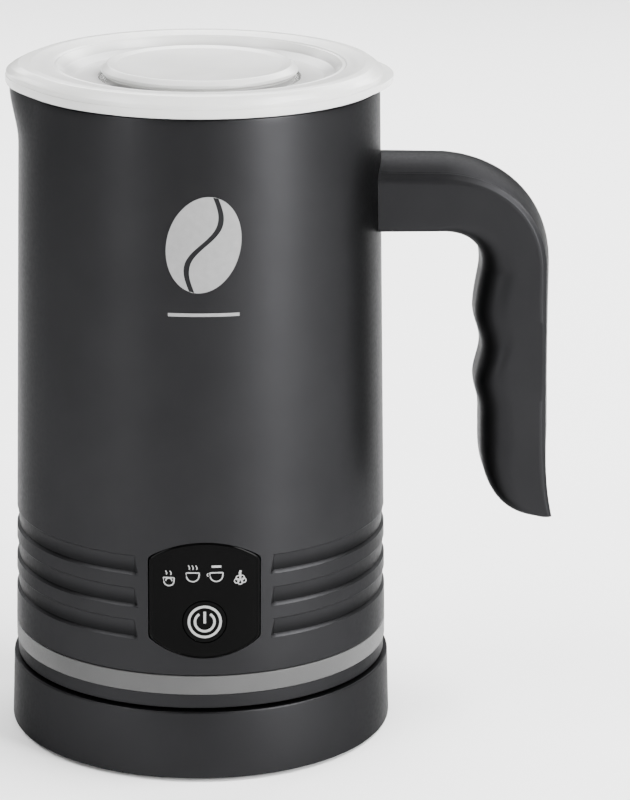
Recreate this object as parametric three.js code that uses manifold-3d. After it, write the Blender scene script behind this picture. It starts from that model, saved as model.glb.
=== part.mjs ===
// Milk frother: a power base, a lift-off jug with a lid, and a whisk that is turned by magnets.
// Millimetres, +Z up. z = 0 is the table, the control panel faces -Y and the handle points to +X.
import * as THREE from 'three';
import { mergeVertices } from 'three/addons/utils/BufferGeometryUtils.js';
import Module from 'manifold-3d';

const wasm = await Module();
wasm.setup();

// Driving dimensions
const roundSides = 32;              // sides of the large round pieces
const middleSides = 20;             // sides of the connector, the rotor and the whisk
const smallSides = 12;              // sides of pins, screws and small discs
const gap = 0.3;                    // left between pieces that touch
const past = 1;                     // how far a cutter runs past the piece it cuts
const baseRadius = 54;              // the widest radius, low on the power base
const handleReach = 98.6;           // from the jug's axis to the tip of the handle
const axisX = (baseRadius - handleReach) / 2;   // puts the origin under the middle of the whole
const deckTop = 20.2;               // top face of the power base
const floorBottom = 21.4;           // underside of the lifted jug, at rest on the base
const bandBottom = 25;
const bandTop = 30.4;
const shellBottom = bandTop + gap;
const shellTop = 184;
const shellLowRadius = 52.5;        // the jug tapers evenly from here
const shellTopRadius = 49.45;       // to here
const shellWall = 1.5;
const vesselFloor = 74.6;           // inside floor of the milk vessel
const vesselRim = 183.5;
const vesselWall = 0.8;
const vesselRadius = 45.3;          // outside, at the rim
const spoutStart = 168;             // height where the spout begins to swell
const spoutSwell = 2.5;             // how far it stands out at the rim
const spoutHalfAngle = 28;          // degrees
const screwShank = 1.3;
const pilotHole = screwShank + gap;
const screwHead = 3;
const panelHalfWidth = 15.2;
const panelSideBottom = 41.1;
const panelSideTop = 63.9;
const panelBottom = 35.7;
const panelTop = 68.5;
const panelProud = 0.15;            // how far the panel stands out of the shell
const panelThickness = 2;
const buttonRadius = 5.9;
const buttonHeight = 46.1;
const handleHalfWidth = 13;
const coverThickness = 2.4;         // the strip that closes the back of the handle
const whiskRadius = 16;             // radius of the whisk's ring
const whiskHeight = 84;

// Shapes

// Welds a closed geometry and turns it into a solid whose faces point out.
function toSolid(geometry) {
  const bare = geometry.clone();
  bare.deleteAttribute('normal');
  bare.deleteAttribute('uv');
  const welded = mergeVertices(bare, 1e-4);
  const position = welded.attributes.position;
  const index = welded.index.array;
  const corners = [new THREE.Vector3(), new THREE.Vector3(), new THREE.Vector3()];
  const triangles = [];
  let volume = 0;
  for (let i = 0; i < index.length; i += 3) {
    const [a, b, c] = index.slice(i, i + 3);
    if (a === b || b === c || c === a) continue;
    triangles.push(a, b, c);
    [a, b, c].forEach((vertex, k) => corners[k].fromBufferAttribute(position, vertex));
    volume += corners[0].dot(corners[1].clone().cross(corners[2]));
  }
  if (volume < 0) triangles.reverse();
  const vertProperties = new Float32Array(position.array);
  const triVerts = new Uint32Array(triangles);
  return new wasm.Manifold(new wasm.Mesh({ numProp: 3, vertProperties, triVerts }));
}

function toGeometry(solid) {
  const { vertProperties, triVerts } = solid.getMesh();
  const geometry = new THREE.BufferGeometry();
  geometry.setAttribute('position', new THREE.BufferAttribute(vertProperties, 3));
  geometry.setIndex(new THREE.BufferAttribute(triVerts, 1));
  geometry.computeVertexNormals();
  return geometry;
}

const join = (first, ...others) =>
  toGeometry(others.reduce((solid, other) => solid.add(toSolid(other)), toSolid(first)));

const cut = (body, ...tools) =>
  toGeometry(tools.reduce((solid, tool) => solid.subtract(toSolid(tool)), toSolid(body)));

const common = (first, second) => toGeometry(toSolid(first).intersect(toSolid(second)));

// A piece turned about the Z axis. Its section is an outline of [radius, height] points.
function turned(outline, sides = roundSides) {
  const points = outline.map(([radius, height]) => new THREE.Vector2(radius, height));
  const onAxis = outline[0][0] === 0 && outline.at(-1)[0] === 0;
  if (!onAxis) points.push(points[0].clone());
  return new THREE.LatheGeometry(points, sides).rotateX(Math.PI / 2);
}

// A plain ring with square edges.
const ring = (inner, outer, bottom, top, sides = roundSides) =>
  turned([[inner, bottom], [outer, bottom], [outer, top], [inner, top]], sides);

// A round bar along Z.
function rod(radius, bottom, top, sides = smallSides) {
  const bar = new THREE.CylinderGeometry(radius, radius, top - bottom, sides);
  return bar.rotateX(Math.PI / 2).translate(0, 0, (bottom + top) / 2);
}

// A block given by its two corners.
function block([x0, y0, z0], [x1, y1, z1]) {
  const box = new THREE.BoxGeometry(x1 - x0, y1 - y0, z1 - z0);
  return box.translate((x0 + x1) / 2, (y0 + y1) / 2, (z0 + z1) / 2);
}

// A flat shape drawn in X and Z, given a thickness along Y.
function slab(shape, nearY, farY) {
  const options = { depth: farY - nearY, curveSegments: 8, bevelEnabled: false };
  return new THREE.ExtrudeGeometry(shape, options).rotateX(Math.PI / 2).translate(0, farY, 0);
}

function onCircle(radius, degrees) {
  const angle = THREE.MathUtils.degToRad(degrees);
  return [radius * Math.cos(angle), radius * Math.sin(angle)];
}

const moved = (geometry, x, y, z = 0) => geometry.clone().translate(x, y, z);

// Outer radius of the jug's shell at a height.
const shellRadius = (height) =>
  THREE.MathUtils.mapLinear(height, bandTop, shellTop, shellLowRadius, shellTopRadius);

// Pushes the top of a turned wall outwards on the -X side, for the pouring spout.
function withSpout(geometry) {
  const position = geometry.attributes.position;
  for (let i = 0; i < position.count; i++) {
    const x = position.getX(i);
    const y = position.getY(i);
    const radius = Math.hypot(x, y);
    const offAngle = THREE.MathUtils.radToDeg(Math.abs(Math.atan2(y, -x)));
    if (radius === 0 || offAngle >= spoutHalfAngle) continue;
    const across = Math.cos((Math.PI / 2) * (offAngle / spoutHalfAngle)) ** 2;
    const up = THREE.MathUtils.smoothstep(position.getZ(i), spoutStart, shellTop);
    const scale = 1 + (spoutSwell * across * up) / radius;
    position.setXY(i, x * scale, y * scale);
  }
  return geometry;
}

// Finishes
const finishes = {
  blackPlastic: { color: 0x2b2b2c, roughness: 0.5, metalness: 0 },
  satinPaint: { color: 0x3a3a3b, roughness: 0.42, metalness: 0.1 },
  glossBlack: { color: 0x0c0c0d, roughness: 0.08, metalness: 0 },
  silver: { color: 0x8d8d8e, roughness: 0.35, metalness: 0.6 },
  frosted: { color: 0xe2e2e0, roughness: 0.4, metalness: 0, transparent: true, opacity: 0.6 },
  silicone: { color: 0xdadad6, roughness: 0.7, metalness: 0 },
  rubber: { color: 0x1c1c1c, roughness: 0.85, metalness: 0 },
  steel: { color: 0xb9bbbc, roughness: 0.3, metalness: 1 },
  aluminium: { color: 0xc4c6c8, roughness: 0.4, metalness: 1 },
  brass: { color: 0xc9a44c, roughness: 0.35, metalness: 1 },
  whitePlastic: { color: 0xe8e6e0, roughness: 0.5, metalness: 0 },
  circuitBoard: { color: 0x1f5c38, roughness: 0.5, metalness: 0 },
  ferrite: { color: 0x3c3c40, roughness: 0.6, metalness: 0.2 },
  lamp: { color: 0xf2f2ee, roughness: 0.3, metalness: 0 },
};

function piece(name, geometry, finish, position = [0, 0, 0]) {
  const mesh = new THREE.Mesh(geometry, new THREE.MeshStandardMaterial(finishes[finish]));
  mesh.name = name;
  mesh.position.set(...position);
  return mesh;
}

// A pan-head screw that points up, with its head resting at z = 0.
const screw = (length) =>
  turned([[0, -0.9], [screwHead - 0.5, -0.9], [screwHead, -0.4], [screwHead, 0], [screwShank, 0],
    [screwShank, length - 1], [0.3, length], [0, length]], smallSides);

// Power base: cover, bottom plate with feet and screws, and the round connector in the middle
const basePlate = { bottom: 1.4, top: 3.8, footCircle: 43, screwCircle: 40, pocket: 1.3 };
const connector = { radius: 16.9, hole: 17.3, top: 27.5, slotFloor: 15.6, contactTop: 18.2 };
const slots = { outer: [11.6, 14.6], inner: [5.9, 9.1], centre: 2.5 };
const cordHeight = 9.5;

function baseCover() {
  const edge = 0.8;
  const wall = 2.4;
  const topRadius = baseRadius - 0.65;
  const underDeck = deckTop - wall;
  const shell = turned([
    [baseRadius - wall - 0.2, 1], [baseRadius - edge, 1], [baseRadius, 1 + edge],
    [topRadius, deckTop - edge], [topRadius - edge, deckTop],
    [connector.hole, deckTop], [connector.hole, underDeck], [topRadius - wall, underDeck],
  ]);
  const pillars = [0, 120, 240].map((degrees) =>
    moved(rod(4, basePlate.top + gap, underDeck + past), ...onCircle(basePlate.screwCircle, degrees)));
  const pilots = [0, 120, 240].map((degrees) =>
    moved(rod(pilotHole, 0, 14), ...onCircle(basePlate.screwCircle, degrees)));
  const cordHole = rod(4.3, 45, baseRadius + past).rotateX(-Math.PI / 2).translate(0, 0, cordHeight);
  const cordRecess = rod(6.3, 52, baseRadius + past, 24).rotateX(-Math.PI / 2).translate(0, 0, cordHeight);
  return cut(join(shell, ...pillars), ...pilots, cordHole, cordRecess);
}

function bottomPlate() {
  const disc = turned([[0, basePlate.bottom], [51.1, basePlate.bottom], [51.1, basePlate.top],
    [0, basePlate.top]]);
  const footHoles = [45, 135, 225, 315].map((degrees) =>
    moved(rod(2.7, 0, 6), ...onCircle(basePlate.footCircle, degrees)));
  const screwHoles = [0, 120, 240].flatMap((degrees) => [
    moved(rod(1.9, 0, 6), ...onCircle(basePlate.screwCircle, degrees)),
    moved(rod(screwHead + 0.4, 0, basePlate.bottom + basePlate.pocket),
      ...onCircle(basePlate.screwCircle, degrees)),
  ]);
  return cut(disc, ...footHoles, ...screwHoles);
}

const foot = turned([[0, 0], [5.6, 0], [6, 0.4], [6, 1.1], [2.4, 1.1], [2.4, basePlate.top + gap],
  [3.2, basePlate.top + gap], [2.2, basePlate.top + 1.4], [0, basePlate.top + 1.4]], smallSides);

function socket() {
  const [outerIn, outerOut] = slots.outer;
  const [innerIn, innerOut] = slots.inner;
  const { radius, top, slotFloor } = connector;
  return turned([
    [slots.centre, 13.4], [18, 13.4], [18, 14.6], [20.5, 14.6], [20.5, deckTop - 2.7],
    [radius, deckTop - 2.7],
    [radius, top - 0.8], [radius - 0.8, top], [outerOut, top], [outerOut, slotFloor], [outerIn, slotFloor],
    [outerIn, top], [innerOut, top], [innerOut, slotFloor], [innerIn, slotFloor], [innerIn, top],
    [slots.centre, top],
  ], middleSides);
}

// The rubber bush that the mains cord would leave through, turned about Y.
const cordGland = turned([[2.6, 48.4], [5.4, 48.4], [5.4, 49.9], [4, 49.9], [4, 52.3], [6, 52.3], [6, 53.3],
  [2.6, 53.3]], smallSides).rotateX(-Math.PI / 2).translate(0, 0, cordHeight);

function cordClamp() {
  const saddle = block([-8, 38, basePlate.top + gap], [8, 43, cordHeight + 2]);
  const cordWay = rod(2.9, 35, 46).rotateX(-Math.PI / 2).translate(0, 0, cordHeight + 0.6);
  return cut(saddle, cordWay, block([-1.6, 35, cordHeight], [1.6, 46, cordHeight + 5]));
}

function powerBase() {
  const group = new THREE.Group();
  group.add(piece('base_cover', baseCover(), 'blackPlastic'));
  group.add(piece('base_plate', bottomPlate(), 'blackPlastic'));
  [45, 135, 225, 315].forEach((degrees, i) => {
    group.add(piece(`base_foot_${i + 1}`, foot, 'rubber', [...onCircle(basePlate.footCircle, degrees), 0]));
  });
  [0, 120, 240].forEach((degrees, i) => {
    const place = [...onCircle(basePlate.screwCircle, degrees), basePlate.bottom + basePlate.pocket - gap];
    group.add(piece(`base_screw_${i + 1}`, screw(9), 'steel', place));
  });
  group.add(piece('base_socket', socket(), 'blackPlastic'));
  const low = connector.slotFloor + gap;
  group.add(piece('socket_contact_outer', ring(12.2, 13.8, low, connector.contactTop, middleSides), 'brass'));
  group.add(piece('socket_contact_inner', ring(6.7, 8.3, low, connector.contactTop, middleSides), 'brass'));
  group.add(piece('socket_contact_centre', rod(1.9, 13.6, connector.contactTop), 'brass'));
  group.add(piece('cord_gland', cordGland, 'rubber'));
  group.add(piece('cord_clamp', cordClamp(), 'blackPlastic'));
  return group;
}

// The jug's half of the connector: it works at any angle, and its rings drop into the socket's slots
const plug = { ceiling: 29, seat: 30.1, skirt: [18, 20.2], bladeBottom: 18.6, flange: 26, top: 32.2 };

function plugHousing() {
  const groove = (inner, outer) => [[inner, plug.ceiling], [inner, plug.seat], [outer, plug.seat],
    [outer, plug.ceiling]];
  const [skirtIn, skirtOut] = plug.skirt;
  return turned([
    [0, plug.seat], [2.1, plug.seat], [2.1, plug.ceiling], ...groove(6.7, 8.3), ...groove(12.2, 13.8),
    [skirtIn, plug.ceiling], [skirtIn, 21.8], [skirtOut, 21.8], [skirtOut, 30.6], [plug.flange, 30.6],
    [plug.flange, plug.top], [0, plug.top],
  ], middleSides);
}

function jugPlug() {
  const group = new THREE.Group();
  const top = plug.seat - gap;
  const blade = (middle) => ring(middle - 0.4, middle + 0.4, plug.bladeBottom, top, middleSides);
  group.add(piece('plug_housing', plugHousing(), 'blackPlastic'));
  group.add(piece('plug_ring_outer', blade(13), 'brass'));
  group.add(piece('plug_ring_inner', blade(7.5), 'brass'));
  const pin = turned([[0, plug.bladeBottom], [1.1, plug.bladeBottom + 0.4], [1.7, plug.bladeBottom + 1.4],
    [1.7, top], [0, top]], smallSides);
  group.add(piece('plug_pin_centre', pin, 'brass'));
  return group;
}

// Jug: floor, band, outer shell and the steel milk vessel
const legCircle = 36;
const legAngles = [90, 210, 330];

function jugFloor() {
  const [spigotIn, spigotOut, spigotTop] = [47.4, 49.4, 35];
  const [collarIn, collarOut, collarTop] = [20.6, 23.4, 30.3];
  const floorTop = floorBottom + 2.4;
  const body = turned([
    [collarIn, floorBottom], [51.6, floorBottom], [52.2, floorBottom + 0.6], [52.2, bandBottom - gap],
    [spigotOut, bandBottom - gap], [spigotOut, spigotTop], [spigotIn, spigotTop], [spigotIn, floorTop],
    [collarOut, floorTop], [collarOut, collarTop], [collarIn, collarTop],
  ]);
  const holes = legAngles.flatMap((degrees) => [
    moved(rod(1.9, 20, 26), ...onCircle(legCircle, degrees)),
    moved(rod(screwHead + 0.4, 20, floorBottom + 1.3), ...onCircle(legCircle, degrees)),
  ]);
  return cut(body, ...holes);
}

function silverBand() {
  const inner = 49.7;
  const outer = shellLowRadius;
  return turned([[inner, bandBottom], [outer - 0.2, bandBottom], [outer, bandBottom + 0.2],
    [outer, bandTop - 0.2], [outer - 0.2, bandTop], [inner, bandTop]]);
}

// Three shallow bands round the foot of the shell. They stop short of the control panel.
const groove = { bottoms: [40.9, 50, 59.2], height: 4.5, slope: 0.8, depth: 0.6, stopAngle: 20.7 };

function grooveRing(bottom) {
  const inner = (height) => shellRadius(height) - groove.depth;
  const top = bottom + groove.height;
  const outer = shellLowRadius + past;
  return turned([[inner(bottom), bottom], [shellRadius(bottom), bottom - groove.slope],
    [outer, bottom - groove.slope], [outer, top], [inner(top), top]]);
}

function frontWedge() {
  const reach = 60;
  const half = reach * Math.tan(THREE.MathUtils.degToRad(groove.stopAngle));
  const shape = new THREE.Shape([new THREE.Vector2(0, 0), new THREE.Vector2(-half, -reach),
    new THREE.Vector2(half, -reach)]);
  return new THREE.ExtrudeGeometry(shape, { depth: 40, bevelEnabled: false }).translate(0, 0, 35);
}

// The control panel's outline: straight sides, and bowed ends. Grown by `extra` all round.
function panelShape(extra = 0) {
  const half = panelHalfWidth + extra;
  const shape = new THREE.Shape();
  shape.moveTo(-half, panelSideBottom);
  shape.quadraticCurveTo(0, 2 * (panelBottom - extra) - panelSideBottom, half, panelSideBottom);
  shape.lineTo(half, panelSideTop);
  shape.quadraticCurveTo(0, 2 * (panelTop + extra) - panelSideTop, -half, panelSideTop);
  return shape;
}

function jugShell() {
  const swell = [spoutStart, 173, 178];
  const inside = (height) => shellRadius(height) - shellWall;
  const ledge = { inner: 46.9, bottom: 181.3, top: 182.4 };
  const outline = [
    [shellRadius(shellBottom), shellBottom], ...swell.map((height) => [shellRadius(height), height]),
    [shellRadius(shellTop), shellTop], [inside(shellTop), shellTop], [inside(ledge.top), ledge.top],
    [ledge.inner, ledge.top], [ledge.inner, ledge.bottom], [inside(ledge.bottom), ledge.bottom],
    ...swell.toReversed().map((height) => [inside(height), height]), [inside(shellBottom), shellBottom],
  ];
  const wedge = frontWedge();
  const grooves = groove.bottoms.map((bottom) => cut(grooveRing(bottom), wedge));
  const window = slab(panelShape(gap), -60, -40);
  const screwHoles = [-1, 1].map((side) =>
    rod(screwShank + 0.6, 44, 54).rotateY(Math.PI / 2).translate(0, side * handleScrew.y, handleScrew.z));
  return cut(withSpout(turned(outline)), ...grooves, window, ...screwHoles);
}

function milkVessel() {
  const outside = (height) => THREE.MathUtils.mapLinear(height, 76.8, 182.7, 44.9, vesselRadius);
  const rimBottom = vesselRim - vesselWall;
  const swell = [spoutStart, 175, rimBottom];
  const bottom = vesselFloor - vesselWall;
  return withSpout(turned([
    [0, bottom], [41.9, bottom], [44, bottom + 0.9], [outside(76.8), 76.8],
    ...swell.map((height) => [outside(height), height]), [47.6, rimBottom], [47.6, vesselRim],
    [outside(vesselRim) - vesselWall, vesselRim],
    ...swell.slice(0, 2).toReversed().map((height) => [outside(height) - vesselWall, height]),
    [outside(76.8) - vesselWall, 76.9], [43.4, vesselFloor + 0.8], [41.7, vesselFloor], [0, vesselFloor],
  ]));
}

const whiskSpindle = turned([[0, vesselFloor + gap], [5, vesselFloor + gap], [5, vesselFloor + 1.1],
  [1.8, vesselFloor + 1.7], [1.8, 87.2], [1, 88], [0, 88]], smallSides);

// Heating and drive under the vessel
class ArcPath extends THREE.Curve {
  constructor(radius, fromDegrees, toDegrees, height) {
    super();
    Object.assign(this, { radius, fromDegrees, toDegrees, height });
  }

  getPoint(t, target = new THREE.Vector3()) {
    const degrees = THREE.MathUtils.lerp(this.fromDegrees, this.toDegrees, t);
    return target.set(...onCircle(this.radius, degrees), this.height);
  }
}

function circleShape(radius) {
  const shape = new THREE.Shape();
  shape.absarc(0, 0, radius, 0, 2 * Math.PI);
  return shape;
}

const heaterRing = new THREE.ExtrudeGeometry(circleShape(3),
  { steps: 30, curveSegments: 4, extrudePath: new ArcPath(33, -70, 250, 68) });

const motor = { radius: 12, bottom: 40, top: 59.5, bossTop: 60.8, bore: 1.35 };
const motorCan = turned([[0, motor.bottom], [motor.radius - 0.7, motor.bottom],
  [motor.radius, motor.bottom + 0.7], [motor.radius, motor.top - 0.8], [motor.radius - 0.8, motor.top],
  [3.2, motor.top], [3.2, motor.bossTop], [motor.bore, motor.bossTop], [motor.bore, 41.5], [0, 41.5]],
  middleSides);

const bracket = { bottom: 61.2, top: 63.2, radius: 40, legBottom: 24.2 };
const sensorCircle = 17.5;

function motorBracket() {
  const plate = turned([[3.6, bracket.bottom], [bracket.radius, bracket.bottom],
    [bracket.radius, bracket.top], [3.6, bracket.top]]);
  const legs = legAngles.map((degrees) =>
    moved(rod(3.2, bracket.legBottom, bracket.bottom + past), ...onCircle(legCircle, degrees)));
  const pilots = legAngles.map((degrees) =>
    moved(rod(pilotHole, 20, 36), ...onCircle(legCircle, degrees)));
  return cut(join(plate, ...legs), ...pilots, moved(rod(2.6, 55, 65), sensorCircle, 0));
}

const temperatureSensor = turned([[0, 58], [2.2, 58], [2.2, 72.9], [1.6, 73.5], [0, 73.5]], smallSides);

function mainBoard() {
  const top = 37.1;
  const disc = turned([[0, 35.5], [43, 35.5], [43, top], [0, top]]);
  const sunk = top - 0.5;
  const parts = [
    block([-32, -6, sunk], [-18, 8, 49]),
    moved(rod(4, sunk, 48), -18, 22),
    moved(rod(4, sunk, 48), -8, 30),
    block([17, 6, sunk], [34, 20, 45]),
    block([-14, -34, sunk], [12, -24, 42]),
  ];
  const legHoles = legAngles.map((degrees) => moved(rod(3.6, 30, 60), ...onCircle(legCircle, degrees)));
  return cut(join(disc, ...parts), ...legHoles);
}

// Control panel at the front, with its board, lamps, switch and button
const board = { front: -46.2, back: -44.6 };

function annulusAtPanel(outerExtra, thickness) {
  const [low, high] = [panelBottom - 4, panelTop + 4];
  const outer = (height) => shellRadius(height) + outerExtra;
  return turned([[outer(low) - thickness, low], [outer(low), low], [outer(high), high],
    [outer(high) - thickness, high]], 72);
}

const buttonBore = (radius) => rod(radius, 40, 60, 24).rotateX(Math.PI / 2).translate(0, 0, buttonHeight);

function controlPanel() {
  const plate = common(annulusAtPanel(panelProud, panelThickness), slab(panelShape(), -60, -40));
  return cut(plate, buttonBore(buttonRadius + gap));
}

function powerButton() {
  const cap = common(annulusAtPanel(panelProud, panelThickness + 1.4), buttonBore(buttonRadius));
  const flange = rod(7.2, 48.6, 49.3, 24).rotateX(Math.PI / 2).translate(0, 0, buttonHeight);
  return join(cap, flange);
}

function tactSwitch() {
  const body = block([-3, -47.3, buttonHeight - 3], [3, board.front - gap, buttonHeight + 3]);
  const plunger = rod(1.7, 47.1, 47.75).rotateX(Math.PI / 2).translate(0, 0, buttonHeight);
  return join(body, plunger);
}

// Handle: a hollow grip with finger hollows, and a crowned strip that closes its back
const handleScrew = { y: 7, z: 152.5 };
const handleEdge = 1.2;             // chamfer between the back and the sides
const handleRim = 1.5;              // what the sides leave beside the strip
const coverEnd = 66;

const vector = ([x, z]) => new THREE.Vector2(x, z);
const line = (...points) => new THREE.LineCurve(...points.map(vector));
const bezier = (...points) => new THREE.CubicBezierCurve(...points.map(vector));
const smooth = (...points) => new THREE.SplineCurve(points.map(vector));

// The back and the finger side, in step from the jug to the tip: root, elbow, grip and tail. The crown is
// how far the middle of the back stands out, and the round is the radius of the finger side's corners.
const handleRuns = [
  { back: line([44, 160.6], [67, 160.2]), front: line([44, 144.4], [65, 144.4]),
    crown: [3.8, 3.8], round: [1.3, 1.3], steps: 2 },
  { back: bezier([67, 160.2], [82, 159.6], [94.4, 150], [95.1, 134]),
    front: bezier([65, 144.4], [72.3, 144.2], [76.8, 139.5], [77.6, 130.5]),
    crown: [3.8, 2], round: [1.3, 9], steps: 10 },
  { back: line([95.1, 134], [95.9, 86]),
    front: smooth([77.6, 130.5], [75.8, 120.3], [78.1, 110.7], [76.2, 100.9], [77.9, 93.6], [78.4, 88],
      [78.6, 82]),
    crown: [2, 1.8], round: [9, 9], steps: 18 },
  { back: bezier([95.9, 86], [96.2, 76], [97, 68], [handleReach, 61.8]),
    front: bezier([78.6, 82], [79, 70], [84, 62], [94, 61.8]),
    crown: [1.8, 0], round: [9, 3], steps: 9 },
];

// A solid along the handle. A section is a loop of [y, depth] points, with depth measured in from the back.
function alongHandle(section) {
  const vertices = [];
  const triangles = [];
  let count = 0;
  let stations = 0;
  handleRuns.forEach(({ back, front, crown, round, steps }, run) => {
    for (let k = run ? 1 : 0; k <= steps; k++) {
      const t = k / steps;
      const start = back.getPoint(t);
      const inward = front.getPoint(t).sub(start);
      const deep = inward.length();
      inward.normalize();
      const [crownHere, roundHere] = [crown, round].map(([from, to]) => THREE.MathUtils.lerp(from, to, t));
      const loop = section(deep, crownHere, roundHere);
      count = loop.length;
      loop.forEach(([y, depth]) => vertices.push(start.x + inward.x * depth, y, start.y + inward.y * depth));
      stations += 1;
    }
  });
  for (let i = 0; i < count; i++) {
    const next = (i + 1) % count;
    for (let station = 0; station < stations - 1; station++) {
      const [a, b] = [station * count, (station + 1) * count];
      triangles.push(a + i, b + i, b + next, a + i, b + next, a + next);
    }
    if (i > 0 && i < count - 1) {
      const end = (stations - 1) * count;
      triangles.push(0, i, i + 1, end, end + i + 1, end + i);
    }
  }
  const geometry = new THREE.BufferGeometry();
  geometry.setAttribute('position', new THREE.Float32BufferAttribute(vertices, 3));
  geometry.setIndex(triangles);
  return geometry;
}

const mirrored = (side) => [...side, ...side.slice(1).reverse().map(([y, depth]) => [-y, depth])];

// The crowned back between its middle and y = half.
const crownedBack = (crown, half, steps = 3) => Array.from({ length: steps + 1 }, (_, k) => {
  const y = (half * k) / steps;
  return [y, -crown * (1 - (y / handleHalfWidth) ** 2)];
});

function gripSection(deep, crown, round) {
  const radius = Math.min(round, deep - 2 * handleEdge);
  const corner = Array.from({ length: 5 }, (_, k) => {
    const [across, down] = onCircle(radius, k * 22.5);
    return [handleHalfWidth - radius + across, deep - radius + down];
  });
  const back = crownedBack(crown, handleHalfWidth - handleEdge);
  return mirrored([...back, [handleHalfWidth, handleEdge], ...corner]);
}

const hollowSection = (deep) => [[-10, coverThickness], [10, coverThickness], [10, deep - 7.5],
  [6, deep - 3.2], [-6, deep - 3.2], [-10, deep - 7.5]];

// What the jug's wall takes out of a piece that is fastened to it.
const shellClearance = () => turned([[0, 120], [shellRadius(120) + gap, 120], [shellRadius(175) + gap, 175],
  [0, 175]]);

// Everything of the handle below a height, near its tip.
const belowHeight = (height) => block([40, -20, 50], [110, 20, height]);

function handleBody() {
  const seatHalf = handleHalfWidth - handleRim;
  const seat = alongHandle((deep, crown) => [[-seatHalf, -crown - past], [seatHalf, -crown - past],
    [seatHalf, coverThickness + gap], [-seatHalf, coverThickness + gap]]);
  const root = block([40, -20, 130], [58, 20, 170]);
  const hollow = cut(alongHandle(hollowSection), root, belowHeight(coverEnd + 6));
  const pilots = [-1, 1].map((side) =>
    rod(pilotHole, 45, 59).rotateY(Math.PI / 2).translate(0, side * handleScrew.y, handleScrew.z));
  return cut(alongHandle(gripSection), cut(seat, belowHeight(coverEnd)), hollow, shellClearance(), ...pilots);
}

function handleCover() {
  const half = handleHalfWidth - handleRim - gap;
  const strip = alongHandle((deep, crown) => mirrored([...crownedBack(crown, half), [half, coverThickness]]));
  return cut(strip, shellClearance(), belowHeight(coverEnd + gap));
}

function jug() {
  const group = new THREE.Group();
  group.add(piece('jug_floor', jugFloor(), 'blackPlastic'));
  group.add(piece('silver_band', silverBand(), 'silver'));
  group.add(piece('jug_shell', jugShell(), 'satinPaint'));
  group.add(piece('inner_vessel', milkVessel(), 'steel'));
  group.add(piece('whisk_spindle', whiskSpindle, 'steel'));
  group.add(piece('heater_ring', heaterRing, 'steel'));
  group.add(piece('heater_plate', ring(20, 40.5, 71.5, 73.5), 'aluminium'));
  group.add(piece('temperature_sensor', temperatureSensor, 'steel', [sensorCircle, 0, 0]));
  const cutout = rod(2.1, -6, 6).rotateY(Math.PI / 2);
  group.add(piece('thermal_cutout', cutout, 'whitePlastic', [0, 24.5, 69]));
  group.add(piece('motor_can', motorCan, 'steel'));
  group.add(piece('motor_bracket', motorBracket(), 'whitePlastic'));
  group.add(piece('main_board', mainBoard(), 'circuitBoard'));
  group.add(piece('panel_board', block([-14.5, board.front, 38], [14.5, board.back, 66]), 'circuitBoard'));
  [[-9.7, 58.4], [-3.2, 60.2], [3.2, 60.2], [9.7, 58.4]].forEach(([x, z], i) => {
    const lamp = block([-1, board.front - 1.3, -0.6], [1, board.front - gap, 0.6]);
    group.add(piece(`panel_lamp_${i + 1}`, lamp, 'lamp', [x, 0, z]));
  });
  group.add(piece('button_switch', tactSwitch(), 'blackPlastic'));
  group.add(piece('control_panel', controlPanel(), 'glossBlack'));
  group.add(piece('handle_body', handleBody(), 'satinPaint'));
  group.add(piece('handle_cover', handleCover(), 'satinPaint'));
  [-1, 1].forEach((side, i) => {
    const turnedScrew = screw(9).rotateY(Math.PI / 2);
    const place = [47.1, side * handleScrew.y, handleScrew.z];
    group.add(piece(`handle_screw_${i + 1}`, turnedScrew, 'steel', place));
  });
  legAngles.forEach((degrees, i) => {
    const place = [...onCircle(legCircle, degrees), floorBottom + 1];
    group.add(piece(`floor_screw_${i + 1}`, screw(11), 'steel', place));
  });
  group.add(piece('power_button', powerButton(), 'glossBlack'));
  return group;
}

// Rotor under the vessel: motor shaft, carrier and two drive magnets
const magnetCircle = 9;
const magnet = { radius: 3.1, height: 3 };
const carrier = { bottom: 64.5, top: 69.5, radius: 14 };

function magnetCarrier() {
  const disc = turned([[0, carrier.bottom], [carrier.radius - 0.6, carrier.bottom],
    [carrier.radius, carrier.bottom + 0.6], [carrier.radius, carrier.top], [0, carrier.top]], middleSides);
  const pockets = [-1, 1].map((side) =>
    moved(rod(magnet.radius + gap, carrier.top - magnet.height, carrier.top + past), side * magnetCircle, 0));
  return cut(disc, ...pockets, rod(1.3, carrier.bottom - past, 67.6));
}

function rotor() {
  const group = new THREE.Group();
  group.add(piece('motor_shaft', rod(1, 42, 67.3), 'steel'));
  group.add(piece('magnet_carrier', magnetCarrier(), 'whitePlastic'));
  const disc = rod(magnet.radius, 0, magnet.height - gap);
  [-1, 1].forEach((side, i) => {
    const place = [side * magnetCircle, 0, carrier.top - magnet.height + gap];
    group.add(piece(`drive_magnet_${i + 1}`, disc, 'ferrite', place));
  });
  return group;
}

// Whisk: a hub that sits over the spindle, a wire ring on three spokes, and the frothing coil round it
const hub = { bottom: 76.6, discTop: 81, radius: 13, neck: 4, top: 91, bore: 2.2, boreTop: 88.6 };

function whiskHub() {
  const body = turned([[0, hub.boreTop], [hub.bore, hub.boreTop], [hub.bore, hub.bottom],
    [hub.radius - 0.5, hub.bottom], [hub.radius, hub.bottom + 0.5], [hub.radius, hub.discTop - 1],
    [hub.radius - 1, hub.discTop], [hub.neck + 1, hub.discTop], [hub.neck, hub.discTop + 1],
    [hub.neck, hub.top - 1], [hub.neck - 1, hub.top], [0, hub.top]], middleSides);
  const pockets = [-1, 1].map((side) =>
    moved(rod(magnet.radius + gap, hub.bottom - past, hub.bottom + magnet.height), side * magnetCircle, 0));
  return cut(body, ...pockets);
}

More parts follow.
